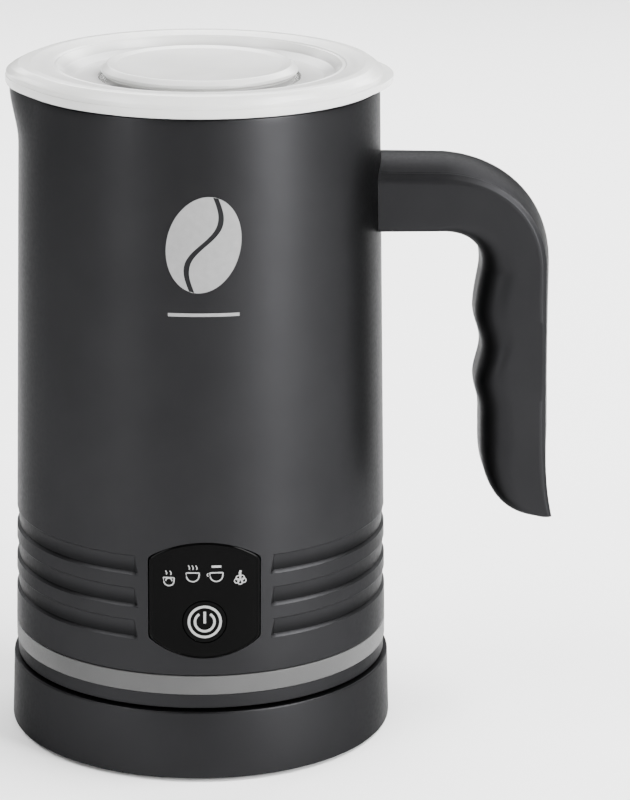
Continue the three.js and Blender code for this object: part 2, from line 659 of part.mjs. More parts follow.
function whiskFrame() {
  const wire = 0.6;
  const hoop = new THREE.TorusGeometry(whiskRadius, wire, 5, middleSides).translate(0, 0, whiskHeight);
  const collar = ring(hub.neck + gap, hub.neck + 1.5, whiskHeight - 0.9, whiskHeight + 0.9, smallSides);
  const spokes = [0, 120, 240].map((degrees) =>
    rod(wire, hub.neck + 0.8, whiskRadius, 6).rotateY(Math.PI / 2)
      .rotateZ(THREE.MathUtils.degToRad(degrees)).translate(0, 0, whiskHeight));
  return join(hoop, collar, ...spokes);
}

// A wire wound round the whisk's ring. The spokes pass between its turns.
class CoilPath extends THREE.Curve {
  getPoint(t, target = new THREE.Vector3()) {
    const turns = 18;
    const coilRadius = 2.3;
    const margin = 0.25 / turns;
    const around = 2 * Math.PI * THREE.MathUtils.lerp(margin, 1 - margin, t);
    const phase = around * turns;
    const radius = whiskRadius + coilRadius * Math.cos(phase);
    return target.set(radius * Math.cos(around), radius * Math.sin(around),
      whiskHeight + coilRadius * Math.sin(phase));
  }
}

const frothCoil = new THREE.ExtrudeGeometry(circleShape(0.35),
  { steps: 126, curveSegments: 2, extrudePath: new CoilPath() });

function whisk() {
  const group = new THREE.Group();
  group.add(piece('whisk_hub', whiskHub(), 'blackPlastic'));
  group.add(piece('whisk_frame', whiskFrame(), 'steel'));
  const disc = rod(magnet.radius, 0, magnet.height - gap);
  [-1, 1].forEach((side, i) => {
    group.add(piece(`whisk_magnet_${i + 1}`, disc, 'ferrite', [side * magnetCircle, 0, hub.bottom]));
  });
  group.add(piece('froth_coil', frothCoil, 'steel'));
  return group;
}

// Lid: a frosted cover with a sunk ring round a raised knob, a lift tab, and a seal on its skirt
const lid = { bottom: 184.3, rim: 187.3, radius: 50.2, tabReach: 53, tabHalfAngle: 27 };
const skirt = { outer: 43.4, inner: 42, bottom: 174, grooveBottom: 176, grooveTop: 178.4 };

function lidCover() {
  const dome = turned([
    [lid.radius, lid.bottom], [lid.radius, lid.rim], [49, 189.2], [46.4, 190], [41.5, 189.3], [34, 185.9],
    [26.8, 185.9], [25, 189.4], [20, 188.9], [0, 188.6], [0, 187.2], [23.8, 187.6], [25.6, 184.4],
    [34.4, 184.4], [skirt.inner, 187.6], [skirt.inner, skirt.bottom], [skirt.outer, skirt.bottom],
    [skirt.outer, skirt.grooveBottom], [skirt.outer - 0.7, skirt.grooveBottom],
    [skirt.outer - 0.7, skirt.grooveTop], [skirt.outer, skirt.grooveTop], [skirt.outer, 187.6],
    [48.2, 187.2], [48.8, 186.4], [48.8, lid.bottom],
  ]);
  const reach = 70;
  const half = reach * Math.tan(THREE.MathUtils.degToRad(lid.tabHalfAngle));
  const wedge = (side) => new THREE.ExtrudeGeometry(
    new THREE.Shape([new THREE.Vector2(0, 0), new THREE.Vector2(side * reach, -half),
      new THREE.Vector2(side * reach, half)]), { depth: 20, bevelEnabled: false }).translate(0, 0, 175);
  const brim = ring(49.4, lid.tabReach, lid.bottom + 0.4, lid.bottom + 2.4);
  return join(dome, common(brim, wedge(1)), common(brim, wedge(-1)));
}

const lidSeal = turned([
  [skirt.outer - 0.4, skirt.grooveBottom + gap], [skirt.outer + 0.3, skirt.grooveBottom + gap],
  [skirt.outer + 0.7, 177.2], [skirt.outer + 0.3, skirt.grooveTop - gap],
  [skirt.outer - 0.4, skirt.grooveTop - gap]]);

function lidGroup() {
  const group = new THREE.Group();
  group.add(piece('lid_cover', lidCover(), 'frosted'));
  group.add(piece('lid_seal', lidSeal, 'silicone'));
  return group;
}

const frother = new THREE.Group();
frother.position.x = axisX;
frother.add(powerBase(), jugPlug(), jug(), rotor(), whisk(), lidGroup());

export default frother;
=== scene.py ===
import math
import bpy
from mathutils import Matrix, Vector


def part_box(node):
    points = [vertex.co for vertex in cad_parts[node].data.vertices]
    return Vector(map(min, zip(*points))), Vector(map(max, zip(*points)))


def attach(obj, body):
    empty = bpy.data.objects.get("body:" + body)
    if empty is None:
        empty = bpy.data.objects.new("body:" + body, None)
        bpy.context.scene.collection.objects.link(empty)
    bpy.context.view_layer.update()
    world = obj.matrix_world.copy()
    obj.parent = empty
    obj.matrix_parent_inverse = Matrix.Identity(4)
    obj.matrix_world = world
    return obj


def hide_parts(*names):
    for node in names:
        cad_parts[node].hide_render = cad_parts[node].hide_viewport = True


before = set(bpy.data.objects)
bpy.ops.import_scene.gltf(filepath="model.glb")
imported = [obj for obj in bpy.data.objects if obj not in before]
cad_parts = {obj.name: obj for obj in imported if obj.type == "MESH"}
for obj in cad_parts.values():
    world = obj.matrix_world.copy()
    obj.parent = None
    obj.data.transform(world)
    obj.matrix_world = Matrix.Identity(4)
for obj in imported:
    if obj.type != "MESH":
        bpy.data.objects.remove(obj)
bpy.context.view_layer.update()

mm = 0.001                                   # lengths below are in millimetres
baseLow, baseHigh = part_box("base_cover")
axisX = (baseLow.x + baseHigh.x) / 2 / mm    # the jug's own axis
shellLow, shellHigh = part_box("jug_shell")
bandLow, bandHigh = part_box("silver_band")

# the jug's shell is an even taper, and the spout swells out of it on the -X side
jugForm = {"footRadius": 52.5, "footHeight": bandHigh.z / mm,
           "topRadius": 49.45, "topHeight": shellHigh.z / mm, "wall": 1.5,
           "spoutStart": 168.0, "spoutSwell": 2.5, "spoutHalfAngle": 28.0,
           "screwCircle": 36.0, "screwAngles": (90, 210, 330)}
# three grooves round its foot, which stop at an angle either side of the panel
grooveForm = {"bottoms": (40.9, 50.0, 59.2), "height": 4.5, "slope": 0.8, "depth": 0.75, "shallow": 0.15,
              "stopAngle": 20.2, "runOut": 0.9}


# small tools

def selectOnly(piece):
    if bpy.context.object and bpy.context.object.mode != "OBJECT":
        bpy.ops.object.mode_set(mode="OBJECT")
    bpy.ops.object.select_all(action="DESELECT")
    piece.select_set(True)
    bpy.context.view_layer.objects.active = piece


def editAll(piece):
    selectOnly(piece)
    bpy.ops.object.mode_set(mode="EDIT")
    bpy.ops.mesh.select_mode(type="VERT")
    bpy.ops.mesh.select_all(action="SELECT")


def weldAndPointOut(piece, distance=0.002):
    editAll(piece)
    bpy.ops.mesh.remove_doubles(threshold=distance * mm)
    bpy.ops.mesh.normals_make_consistent(inside=False)
    bpy.ops.object.mode_set(mode="OBJECT")


def smoothed(piece, degrees=32.0):
    selectOnly(piece)
    bpy.ops.object.shade_smooth_by_angle(angle=math.radians(degrees))
    return piece


def applied(piece, kind, **settings):
    modifier = piece.modifiers.new(kind, kind)
    for key, value in settings.items():
        setattr(modifier, key, value)
    selectOnly(piece)
    bpy.ops.object.modifier_apply(modifier=modifier.name)
    return piece


def combined(piece, tool, operation="DIFFERENCE"):
    applied(piece, "BOOLEAN", object=tool, operation=operation, solver="EXACT")
    bpy.data.objects.remove(tool)
    return piece


def turnedMesh(piece, matrix):
    piece.data.transform(matrix)
    return piece


def copied(piece, name, matrix):
    twin = piece.copy()
    twin.data = piece.data.copy()
    twin.name = name
    bpy.context.scene.collection.objects.link(twin)
    return turnedMesh(twin, matrix)


def finished(piece, body, material, slot, *nodes):
    piece.data.materials.clear()
    piece.data.materials.append(material)
    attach(piece, body)
    if nodes:
        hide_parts(*nodes)
    return piece


def rounded(outline, closed=True, steps=5):
    # corners given as (radius, height, fillet) become arcs
    points = []
    count = len(outline)
    for i, corner in enumerate(outline):
        here = Vector(corner[:2])
        fillet = corner[2] if len(corner) > 2 else 0.0
        if fillet == 0 or (not closed and i in (0, count - 1)):
            points.append(here)
            continue
        before = Vector(outline[i - 1][:2]) - here
        after = Vector(outline[(i + 1) % count][:2]) - here
        halfAngle = before.angle(after) / 2
        reach = min(fillet / math.tan(halfAngle), 0.49 * before.length, 0.49 * after.length)
        start = here + before.normalized() * reach
        end = here + after.normalized() * reach
        for k in range(steps + 1):
            t = k / steps
            points.append((1 - t) ** 2 * start + 2 * t * (1 - t) * here + t ** 2 * end)
    return points


def spun(name, outline, steps=160, degrees=360.0, startDegrees=0.0, centre=None):
    # draws the section by extruding one vertex, then spins it round the axis
    centre = Vector((axisX, 0, 0)) if centre is None else Vector(centre)
    onAxis = outline[0][0] == 0 and outline[-1][0] == 0
    section = rounded(outline, closed=not onAxis)
    bpy.ops.object.select_all(action="DESELECT")
    bpy.ops.mesh.primitive_plane_add(size=mm, location=(0, 0, 0))
    piece = bpy.context.object
    piece.name = name
    editAll(piece)
    bpy.ops.mesh.merge(type="CENTER")
    first = section[0]
    outward = Vector((math.cos(math.radians(startDegrees)), math.sin(math.radians(startDegrees)), 0))
    bpy.ops.transform.translate(value=(centre + outward * first.x + Vector((0, 0, first.y))) * mm)
    for before, after in zip(section, section[1:] + ([] if onAxis else [first])):
        step = (outward * (after.x - before.x) + Vector((0, 0, after.y - before.y))) * mm
        bpy.ops.mesh.extrude_region_move(TRANSFORM_OT_translate={"value": step})
    bpy.ops.mesh.select_all(action="SELECT")
    bpy.ops.mesh.remove_doubles(threshold=1e-7)
    if degrees < 360:
        bpy.ops.mesh.edge_face_add()
    bpy.ops.mesh.spin(steps=steps, angle=-math.radians(degrees), center=centre * mm, axis=(0, 0, 1))
    bpy.ops.object.mode_set(mode="OBJECT")
    weldAndPointOut(piece)
    return piece


def gridForm(name, across, along, place, thickness=0.0):
    # a grid whose points are moved to place(u, v), with u and v from 0 to 1
    bpy.ops.object.select_all(action="DESELECT")
    bpy.ops.mesh.primitive_grid_add(x_subdivisions=across, y_subdivisions=along, size=1, location=(0, 0, 0))
    piece = bpy.context.object
    piece.name = name
    for vertex in piece.data.vertices:
        vertex.co = Vector(place(vertex.co.x + 0.5, vertex.co.y + 0.5)) * mm
    if thickness:
        applied(piece, "SOLIDIFY", thickness=thickness * mm, offset=0.0)
    weldAndPointOut(piece)
    return piece


def tube(name, across, along, place):
    # a grid closed round u, with both its ends filled
    piece = gridForm(name, across, along, place)
    editAll(piece)
    bpy.ops.mesh.fill_holes(sides=0)
    bpy.ops.mesh.normals_make_consistent(inside=False)
    bpy.ops.object.mode_set(mode="OBJECT")
    return piece


def bar(name, radius, low, high, sides=32):
    # a plain round cutter along Z
    bpy.ops.object.select_all(action="DESELECT")
    bpy.ops.mesh.primitive_cylinder_add(vertices=sides, radius=radius * mm, depth=(high - low) * mm,
                                        location=(0, 0, (high + low) / 2 * mm))
    piece = bpy.context.object
    piece.name = name
    bpy.ops.object.transform_apply(location=True, rotation=True, scale=True)
    return piece


def block(name, size, place):
    # a plain box cutter, size and place in millimetres
    bpy.ops.object.select_all(action="DESELECT")
    bpy.ops.mesh.primitive_cube_add(size=1, scale=Vector(size) * mm, location=Vector(place) * mm)
    piece = bpy.context.object
    piece.name = name
    bpy.ops.object.transform_apply(location=True, rotation=True, scale=True)
    return piece


def wire(name, points, thickness, sides=2):
    # a round wire through the points, still a curve
    curve = bpy.data.curves.new(name, "CURVE")
    curve.dimensions = "3D"
    curve.bevel_depth = thickness / 2 * mm
    curve.bevel_resolution = sides
    curve.use_fill_caps = True
    spline = curve.splines.new("POLY")
    spline.points.add(len(points) - 1)
    for vertex, point in zip(spline.points, points):
        vertex.co = (*(Vector(point) * mm), 1)
    piece = bpy.data.objects.new(name, curve)
    bpy.context.scene.collection.objects.link(piece)
    return piece


def shift(x=0.0, y=0.0, z=0.0):
    return Matrix.Translation(Vector((x, y, z)) * mm)


def onCircle(radius, degrees):
    return radius * math.cos(math.radians(degrees)), radius * math.sin(math.radians(degrees))


def smoothStep(value, low, high):
    t = min(max((value - low) / (high - low), 0.0), 1.0)
    return t * t * (3 - 2 * t)


def window(x, y, towards, halfAngle):
    # 1 in the direction `towards`, falling to 0 at halfAngle from it
    off = abs((math.degrees(math.atan2(y, x)) - towards + 180) % 360 - 180)
    return math.cos(math.pi / 2 * off / halfAngle) ** 2 if off < halfAngle else 0.0


def shellRadius(height):
    form = jugForm
    t = (height - form["footHeight"]) / (form["topHeight"] - form["footHeight"])
    return form["footRadius"] + t * (form["topRadius"] - form["footRadius"])


def movedOut(piece, amount):
    # amount(x, y, z, radius) says how far a point moves away from the axis
    for vertex in piece.data.vertices:
        x, y, z = vertex.co.x / mm - axisX, vertex.co.y / mm, vertex.co.z / mm
        radius = math.hypot(x, y)
        if radius > 1:
            grown = 1 + amount(x, y, z, radius) / radius
            vertex.co.x = (axisX + x * grown) * mm
            vertex.co.y = y * grown * mm


def spoutAmount(x, y, z, radius):
    up = smoothStep(z, jugForm["spoutStart"], jugForm["topHeight"])
    return jugForm["spoutSwell"] * up * window(x, y, 180, jugForm["spoutHalfAngle"])


def onShell(x, z, proud):
    # a point x to the right of the front's middle, measured round the shell
    radius = shellRadius(z) + proud
    angle = x / radius
    return axisX + radius * math.sin(angle), -radius * math.cos(angle), z


# materials

def linear(hexColour):
    channels = [int(hexColour[i:i + 2], 16) / 255 for i in (1, 3, 5)]
    return tuple(c / 12.92 if c <= 0.04045 else ((c + 0.055) / 1.055) ** 2.4 for c in channels) + (1.0,)


def addNode(tree, kind, settings=None, inputs=None, links=None):
    node = tree.nodes.new(kind)
    for key, value in (settings or {}).items():
        setattr(node, key, value)
    for key, value in (inputs or {}).items():
        node.inputs[key].default_value = value
    for key, output in (links or {}).items():
        tree.links.new(output, node.inputs[key])
    return node


def startMaterial(name, **values):
    material = bpy.data.materials.new(name)
    material.use_nodes = True
    tree = material.node_tree
    shader = tree.nodes["Principled BSDF"]
    for key, value in values.items():
        shader.inputs[key.replace("_", " ")].default_value = value
    return material, tree, shader


def pattern(tree, size, detail=3.0, stretch=(1, 1, 1), roughness=0.5):
    # noise on the object's own coordinates, its blobs `size` millimetres across
    place = addNode(tree, "ShaderNodeTexCoord").outputs["Object"]
    stretched = addNode(tree, "ShaderNodeMapping", inputs={"Scale": stretch}, links={"Vector": place})
    noise = addNode(tree, "ShaderNodeTexNoise",
                    inputs={"Scale": 1 / (size * mm), "Detail": detail, "Roughness": roughness},
                    links={"Vector": stretched.outputs["Vector"]})
    return noise.outputs["Fac"]


def variedRoughness(tree, shader, fac, low, high):
    ranged = addNode(tree, "ShaderNodeMapRange", inputs={"From Min": 0.3, "From Max": 0.7, "To Min": low,
                                                         "To Max": high}, links={"Value": fac})
    tree.links.new(ranged.outputs["Result"], shader.inputs["Roughness"])


def variedColour(tree, shader, fac, dark, light):
    ramp = addNode(tree, "ShaderNodeValToRGB", links={"Fac": fac})
    ramp.color_ramp.elements[0].position = 0.3
    ramp.color_ramp.elements[1].position = 0.7
    ramp.color_ramp.elements[0].color = linear(dark)
    ramp.color_ramp.elements[1].color = linear(light)
    tree.links.new(ramp.outputs["Color"], shader.inputs["Base Color"])


def radiusAndHeight(tree):
    # distance from the jug's axis, and height, in metres
    place = addNode(tree, "ShaderNodeTexCoord").outputs["Object"]
    split = addNode(tree, "ShaderNodeSeparateXYZ", links={"Vector": place})
    across = addNode(tree, "ShaderNodeMath", {"operation": "SUBTRACT"}, {1: axisX * mm},
                     {0: split.outputs["X"]})
    flat = addNode(tree, "ShaderNodeCombineXYZ", links={"X": across.outputs[0], "Y": split.outputs["Y"]})
    length = addNode(tree, "ShaderNodeVectorMath", {"operation": "LENGTH"}, links={0: flat.outputs[0]})
    return length.outputs["Value"], split.outputs["Z"]


def between(tree, value, start, low, high, end):
    # 1 from low to high, fading to 0 at start and at end, all in millimetres
    rise = addNode(tree, "ShaderNodeMapRange", {"interpolation_type": "SMOOTHSTEP"},
                   {"From Min": start * mm, "From Max": low * mm}, {"Value": value})
    fall = addNode(tree, "ShaderNodeMapRange", {"interpolation_type": "SMOOTHSTEP"},
                   {"From Min": end * mm, "From Max": high * mm}, {"Value": value})
    both = addNode(tree, "ShaderNodeMath", {"operation": "MULTIPLY"},
                   links={0: rise.outputs["Result"], 1: fall.outputs["Result"]})
    return both.outputs[0]


def shaded(tree, shader, mask, amount):
    # paints shade: lowers the base colour by `amount` where the mask is 1
    colour = shader.inputs["Base Color"].links[0].from_socket
    keep = addNode(tree, "ShaderNodeMath", {"operation": "MULTIPLY_ADD"}, {1: -amount, 2: 1.0}, {0: mask})
    scaled = addNode(tree, "ShaderNodeVectorMath", {"operation": "SCALE"},
                     links={0: colour, "Scale": keep.outputs[0]})
    tree.links.new(scaled.outputs["Vector"], shader.inputs["Base Color"])


def bumped(tree, shader, fac, depth):
    bump = addNode(tree, "ShaderNodeBump", inputs={"Strength": 1.0, "Distance": depth * mm},
                   links={"Height": fac})
    tree.links.new(bump.outputs["Normal"], shader.inputs["Normal"])


def satinPaint(name, dark, light, rough):
    # satin charcoal metallic paint: a soft sheen that stays dark towards the edges, and a faint orange
    # peel drawn at about 1 mm
    material, tree, shader = startMaterial(name, Metallic=1.0, Specular_Tint=(0.52, 0.52, 0.52, 1.0))
    variedColour(tree, shader, pattern(tree, 16, 2.0), dark, light)
    variedRoughness(tree, shader, pattern(tree, 1.1, 2.0), rough - 0.03, rough + 0.04)
    bumped(tree, shader, pattern(tree, 0.9, 2.0), 0.004)
    return material


def grooveShadePaint(name, dark, light, rough):
    # the same paint on the shell, with painted shade: its colour is darkened down in its grooves
    material = satinPaint(name, dark, light, rough)
    tree = material.node_tree
    radius, height = radiusAndHeight(tree)
    slope = (jugForm["topRadius"] - jugForm["footRadius"]) / (jugForm["topHeight"] - jugForm["footHeight"])
    start = jugForm["footRadius"] - slope * jugForm["footHeight"]
    outside = addNode(tree, "ShaderNodeMath", {"operation": "MULTIPLY_ADD"}, {1: slope, 2: start * mm},
                      {0: height})
    depth = addNode(tree, "ShaderNodeMath", {"operation": "SUBTRACT"},
                    links={0: outside.outputs[0], 1: radius})
    # painted shade: darker colour where the surface lies deep in a groove
    grooveShade = between(tree, depth.outputs[0], 0.2, grooveForm["depth"], 10, 11)
    shaded(tree, tree.nodes["Principled BSDF"], grooveShade, 0.6)
    return material


def mouldedPlastic(name, dark, light, rough, grain=0.008):
    # injection-moulded ABS or nylon with a fine spark-eroded grain, drawn at 0.6 mm so that it shows
    material, tree, shader = startMaterial(name, IOR=1.53, Specular_IOR_Level=0.22)
    variedColour(tree, shader, pattern(tree, 11, 2.0), dark, light)
    variedRoughness(tree, shader, pattern(tree, 0.7, 3.0), rough - 0.05, rough + 0.06)
    bumped(tree, shader, pattern(tree, 0.6, 3.0), grain)
    return material


def glossAcrylic(name):
    # polished black acrylic: deep black, sharp reflections, the faintest haze of handling
    material, tree, shader = startMaterial(name, IOR=1.49, Specular_IOR_Level=0.03)
    variedColour(tree, shader, pattern(tree, 25, 2.0), "#030303", "#040404")
    variedRoughness(tree, shader, pattern(tree, 18, 4.0), 0.05, 0.11)
    return material


def printedInk(name, dark, light):
    # screen-printed light grey ink, slightly mottled
    material, tree, shader = startMaterial(name, IOR=1.5)
    variedColour(tree, shader, pattern(tree, 2, 2.0), dark, light)
    variedRoughness(tree, shader, pattern(tree, 1.4, 2.0), 0.45, 0.6)
    return material


def satinMetal(name, dark, light, rough, stretch, size=8.3):
    # drawn or brushed metal: fine lines along the way that it was worked, `size` before they are stretched
    material, tree, shader = startMaterial(name, Metallic=1.0)
    lines = pattern(tree, size, 4.0, stretch, 0.6)
    variedColour(tree, shader, lines, dark, light)
    variedRoughness(tree, shader, lines, rough - 0.03, rough + 0.04)
    bumped(tree, shader, lines, 0.0008)
    return material


def frostedPlastic(name):
    # frosted translucent polypropylene: milky, with a little seen through it and a soft gloss
    material, tree, shader = startMaterial(name, IOR=1.49, Transmission_Weight=0.42)
    variedColour(tree, shader, pattern(tree, 22, 2.0), "#e6e6e4", "#ececea")
    variedRoughness(tree, shader, pattern(tree, 17, 2.0), 0.2, 0.26)
    # painted shade: the colour is darkened over the recess round the knob, and most of all at the knob's
    # foot, where shade falls
    radius, height = radiusAndHeight(tree)
    shaded(tree, shader, between(tree, radius, 26.6, 27.4, 36.0, 38.8), 0.36)
    # painted shadow line at the knob's foot
    foot = addNode(tree, "ShaderNodeMath", {"operation": "MULTIPLY"},
                   links={0: between(tree, radius, 25.7, 26.0, 27.4, 28.0),
                          1: between(tree, height, 169.0, 170.0, 186.3, 186.9)})
    shaded(tree, shader, foot.outputs[0], 0.6)
    return material


def softRubber(name, dark, light):
    # moulded rubber or silicone: matt, slightly uneven
    material, tree, shader = startMaterial(name, IOR=1.42)
    variedColour(tree, shader, pattern(tree, 5, 3.0), dark, light)
    variedRoughness(tree, shader, pattern(tree, 1.1, 3.0), 0.62, 0.78)
    bumped(tree, shader, pattern(tree, 0.8, 3.0), 0.012)
    return material


bodyPaint = grooveShadePaint("charcoalSatinPaint", "#222223", "#242425", 0.4)
handlePaint = satinPaint("charcoalHandlePaint", "#212122", "#232324", 0.44)
basePaint = satinPaint("charcoalBasePaint", "#212122", "#232324", 0.42)
innerPlastic = mouldedPlastic("blackNylon", "#151516", "#19191a", 0.5, 0.012)
whitePlastic = mouldedPlastic("whiteGlassFilledNylon", "#d8d5cc", "#e2dfd7", 0.5, 0.012)
panelAcrylic = glossAcrylic("polishedBlackAcrylic")
iconInk = printedInk("lightGreyIconInk", "#848484", "#8b8b8b")
markInk = printedInk("lightGreyMarkInk", "#727272", "#787878")
bandPaint = mouldedPlastic("silverGreyCoatedAbs", "#3d3d3d", "#414141", 0.5, 0.002)
lidPlastic = frostedPlastic("frostedPolypropylene")
sealSilicone = softRubber("whiteSilicone", "#cfcfca", "#dadad6")
blackRubber = softRubber("blackRubber", "#161616", "#1e1e1e")
vesselSteel = satinMetal("drawnStainlessSteel", "#b0b2b4", "#b9bbbd", 0.27, (0.15, 0.15, 12))
wireSteel = satinMetal("stainlessWire", "#a8aaac", "#c3c5c6", 0.22, (1, 1, 1), 2.1)
screwSteel = satinMetal("zincPlatedSteel", "#9ea1a3", "#b9bcbe", 0.3, (1, 1, 1), 1.4)
plateAluminium = satinMetal("rolledAluminium", "#b4b6b8", "#cacccd", 0.36, (1, 8, 1))
contactBrass = satinMetal("stampedBrass", "#b8924a", "#cba765", 0.28, (1, 1, 6), 4.2)
darkFerrite = mouldedPlastic("sinteredFerrite", "#2c2c2f", "#3a3a3d", 0.6, 0.02)
solderMask = mouldedPlastic("greenSolderMask", "#174427", "#1e5431", 0.35, 0.004)
lampPlastic = mouldedPlastic("clearLampEpoxy", "#e4e4de", "#f2f2ee", 0.2, 0.002)
print("materials made")


# power base

baseForm = {"wall": 2.4, "deck": baseHigh.z / mm, "radius": 54.0, "topRadius": 53.35, "edge": 0.55,
            "hole": 17.3, "screwCircle": 40.0, "screwAngles": (0, 120, 240), "footCircle": 43.0,
            "footAngles": (45, 135, 225, 315), "cordHeight": 9.5}


def makeBaseCover(form):
    deck, wall = form["deck"], form["wall"]
    cover = spun("baseCover", [
        (form["radius"] - wall - 0.2, 1.0), (form["radius"], 1.0, form["edge"]),
        (form["topRadius"], deck, form["edge"]), (47.2, deck, 0.3), (46.6, deck - 0.6, 0.3),
        (44.6, deck - 0.6, 0.3), (44.0, deck, 0.3), (23.6, deck, 0.3), (23.1, deck - 0.5, 0.2),
        (21.6, deck - 0.5, 0.2), (21.1, deck, 0.3), (form["hole"], deck, 0.5), (form["hole"], deck - wall),
        (form["topRadius"] - wall, deck - wall, 0.8)], steps=192)
    for radius, low in ((4.3, 46), (6.3, 52)):
        cutter = bar("cordHole", radius, low, 58, 48)
        turnedMesh(cutter, shift(axisX, 0, form["cordHeight"]) @ Matrix.Rotation(math.radians(-90), 4, "X"))
        combined(cover, cutter)
    return finished(smoothed(cover), "power_base", basePaint, "base_plastic", "base_cover")


def makeBasePlate(form):
    plate = spun("basePlate", [(0, 1.4), (49.6, 1.4, 0.4), (50.2, 1.9, 0.3), (51.1, 1.9, 0.3), (51.1, 3.8),
                               (0, 3.8)], steps=144)
    for degrees in form["screwAngles"]:
        x, y = onCircle(form["screwCircle"], degrees)
        for radius, high in ((1.9, 6.0), (3.4, 2.7)):
            combined(plate, turnedMesh(bar("screwHole", radius, 0, high), shift(axisX + x, y)))
    for degrees in form["footAngles"]:
        x, y = onCircle(form["footCircle"], degrees)
        combined(plate, turnedMesh(bar("footHole", 2.7, 0, 6), shift(axisX + x, y)))
    for row in range(5):                       # air slots
        for side in (-1, 1):
            slot = block("airSlot", (11, 1.6, 12), (axisX + side * 14, (row - 2) * 4, 0))
            applied(slot, "BEVEL", width=0.75 * mm, segments=4, limit_method="ANGLE")
            combined(plate, slot)
    return finished(smoothed(plate), "power_base", basePaint, "base_plastic", "base_plate")


def makeFeet(form):
    foot = spun("footPattern", [
        (0, 0.35), (1.6, 0.35, 0.2), (1.9, 0, 0.2), (3.2, 0, 0.2), (3.5, 0.35, 0.1), (4.0, 0.35, 0.1),
        (4.3, 0, 0.2), (5.6, 0, 0.3), (6.0, 0.5, 0.3), (6.0, 1.3, 0.2), (2.5, 1.3), (2.5, 4.1),
        (3.2, 4.1, 0.2), (2.2, 5.2, 0.4), (0, 5.2)], steps=48, centre=(0, 0, 0))
    smoothed(foot)
    for i, degrees in enumerate(form["footAngles"]):
        x, y = onCircle(form["footCircle"], degrees)
        twin = copied(foot, f"foot{i + 1}", shift(axisX + x, y))
        finished(twin, "power_base", blackRubber, "foot_rubber", f"base_foot_{i + 1}")
    bpy.data.objects.remove(foot)


def screwPattern():
    # pan head with a cross recess, pointing up, head underside at z = 0
    screw = spun("screwPattern", [
        (0, -1.2), (1.6, -1.15, 0.4), (2.8, -0.75, 0.5), (3.0, 0, 0.1), (1.3, 0, 0.1), (1.3, 8.6), (0.3, 9.6),
        (0, 9.6)], steps=40, centre=(0, 0, 0))
    for turn in (0, 90):
        blade = block("crossBlade", (2.9, 0.62, 1.6), (0, 0, -1.2))
        turnedMesh(blade, Matrix.Rotation(math.radians(turn), 4, "Z"))
        combined(screw, blade)
    return smoothed(screw)


def makeScrews(form):
    pattern = screwPattern()
    for i, degrees in enumerate(form["screwAngles"]):
        x, y = onCircle(form["screwCircle"], degrees)
        twin = copied(pattern, f"baseScrew{i + 1}", shift(axisX + x, y, 2.7))
        finished(twin, "power_base", screwSteel, "stainless_steel", f"base_screw_{i + 1}")
    for i, degrees in enumerate(jugForm["screwAngles"]):
        x, y = onCircle(jugForm["screwCircle"], degrees)
        twin = copied(pattern, f"floorScrew{i + 1}", shift(axisX + x, y, 22.7))
        finished(twin, "jug", screwSteel, "stainless_steel", f"floor_screw_{i + 1}")
    bpy.data.objects.remove(pattern)


connectorForm = {"radius": 16.9, "top": 27.5, "slots": ((5.9, 9.1), (11.6, 14.6)), "slotFloor": 15.6,
                 "contactTop": 18.2, "bladeRadii": (7.5, 13.0), "bladeLow": 18.6, "bladeTop": 29.8}


def makeConnector(form):
    (innerIn, innerOut), (outerIn, outerOut) = form["slots"]
    top, floor, deck = form["top"], form["slotFloor"], baseForm["deck"]
    edge = 0.35
    socket = spun("baseSocket", [
        (2.5, 13.4), (18, 13.4), (18, 14.6), (20.5, 14.6), (20.5, deck - 2.7), (form["radius"], deck - 2.7),
        (form["radius"], top, 0.9), (outerOut, top, edge), (outerOut, floor), (outerIn, floor),
        (outerIn, top, edge), (innerOut, top, edge), (innerOut, floor), (innerIn, floor),
        (innerIn, top, edge), (2.5, top, 0.6)], steps=96)
    finished(smoothed(socket), "power_base", innerPlastic, "inner_plastic", "base_socket")
    for name, middle in zip(("inner", "outer"), form["bladeRadii"]):
        contact = spun(f"{name}Contact", [
            (middle - 0.8, floor + 0.3), (middle + 0.8, floor + 0.3), (middle + 0.8, form["contactTop"], 0.4),
            (middle - 0.8, form["contactTop"], 0.4)], steps=72)
        finished(smoothed(contact), "power_base", contactBrass, "contact_brass", f"socket_contact_{name}")
        low, high = form["bladeLow"], form["bladeTop"]
        blade = spun(f"{name}Blade", [
            (middle - 0.4, low, 0.25), (middle + 0.4, low, 0.25), (middle + 0.4, high), (middle - 0.4, high)],
            steps=72)
        finished(smoothed(blade), "jug_plug", contactBrass, "contact_brass", f"plug_ring_{name}")
    centre = spun("centreContact", [(0, 13.6), (1.9, 13.6), (1.9, form["contactTop"], 0.5),
                                    (0, form["contactTop"])], steps=32)
    finished(smoothed(centre), "power_base", contactBrass, "contact_brass", "socket_contact_centre")
    pin = spun("centrePin", [(0, form["bladeLow"]), (1.7, form["bladeLow"], 0.9), (1.7, form["bladeTop"]),
                             (0, form["bladeTop"])], steps=32)
    finished(smoothed(pin), "jug_plug", contactBrass, "contact_brass", "plug_pin_centre")
    housing = spun("plugHousing", [
        (0, 30.1), (2.1, 30.1), (2.1, 29.0), (6.7, 29.0), (6.7, 30.1), (8.3, 30.1), (8.3, 29.0), (12.2, 29.0),
        (12.2, 30.1), (13.8, 30.1), (13.8, 29.0), (18.0, 29.0, 0.5), (18.0, 21.8, 0.7), (20.2, 21.8, 0.4),
        (20.2, 30.6), (26, 30.6), (26, 32.2, 0.5), (0, 32.2)], steps=96)
    finished(smoothed(housing), "jug_plug", innerPlastic, "inner_plastic", "plug_housing")


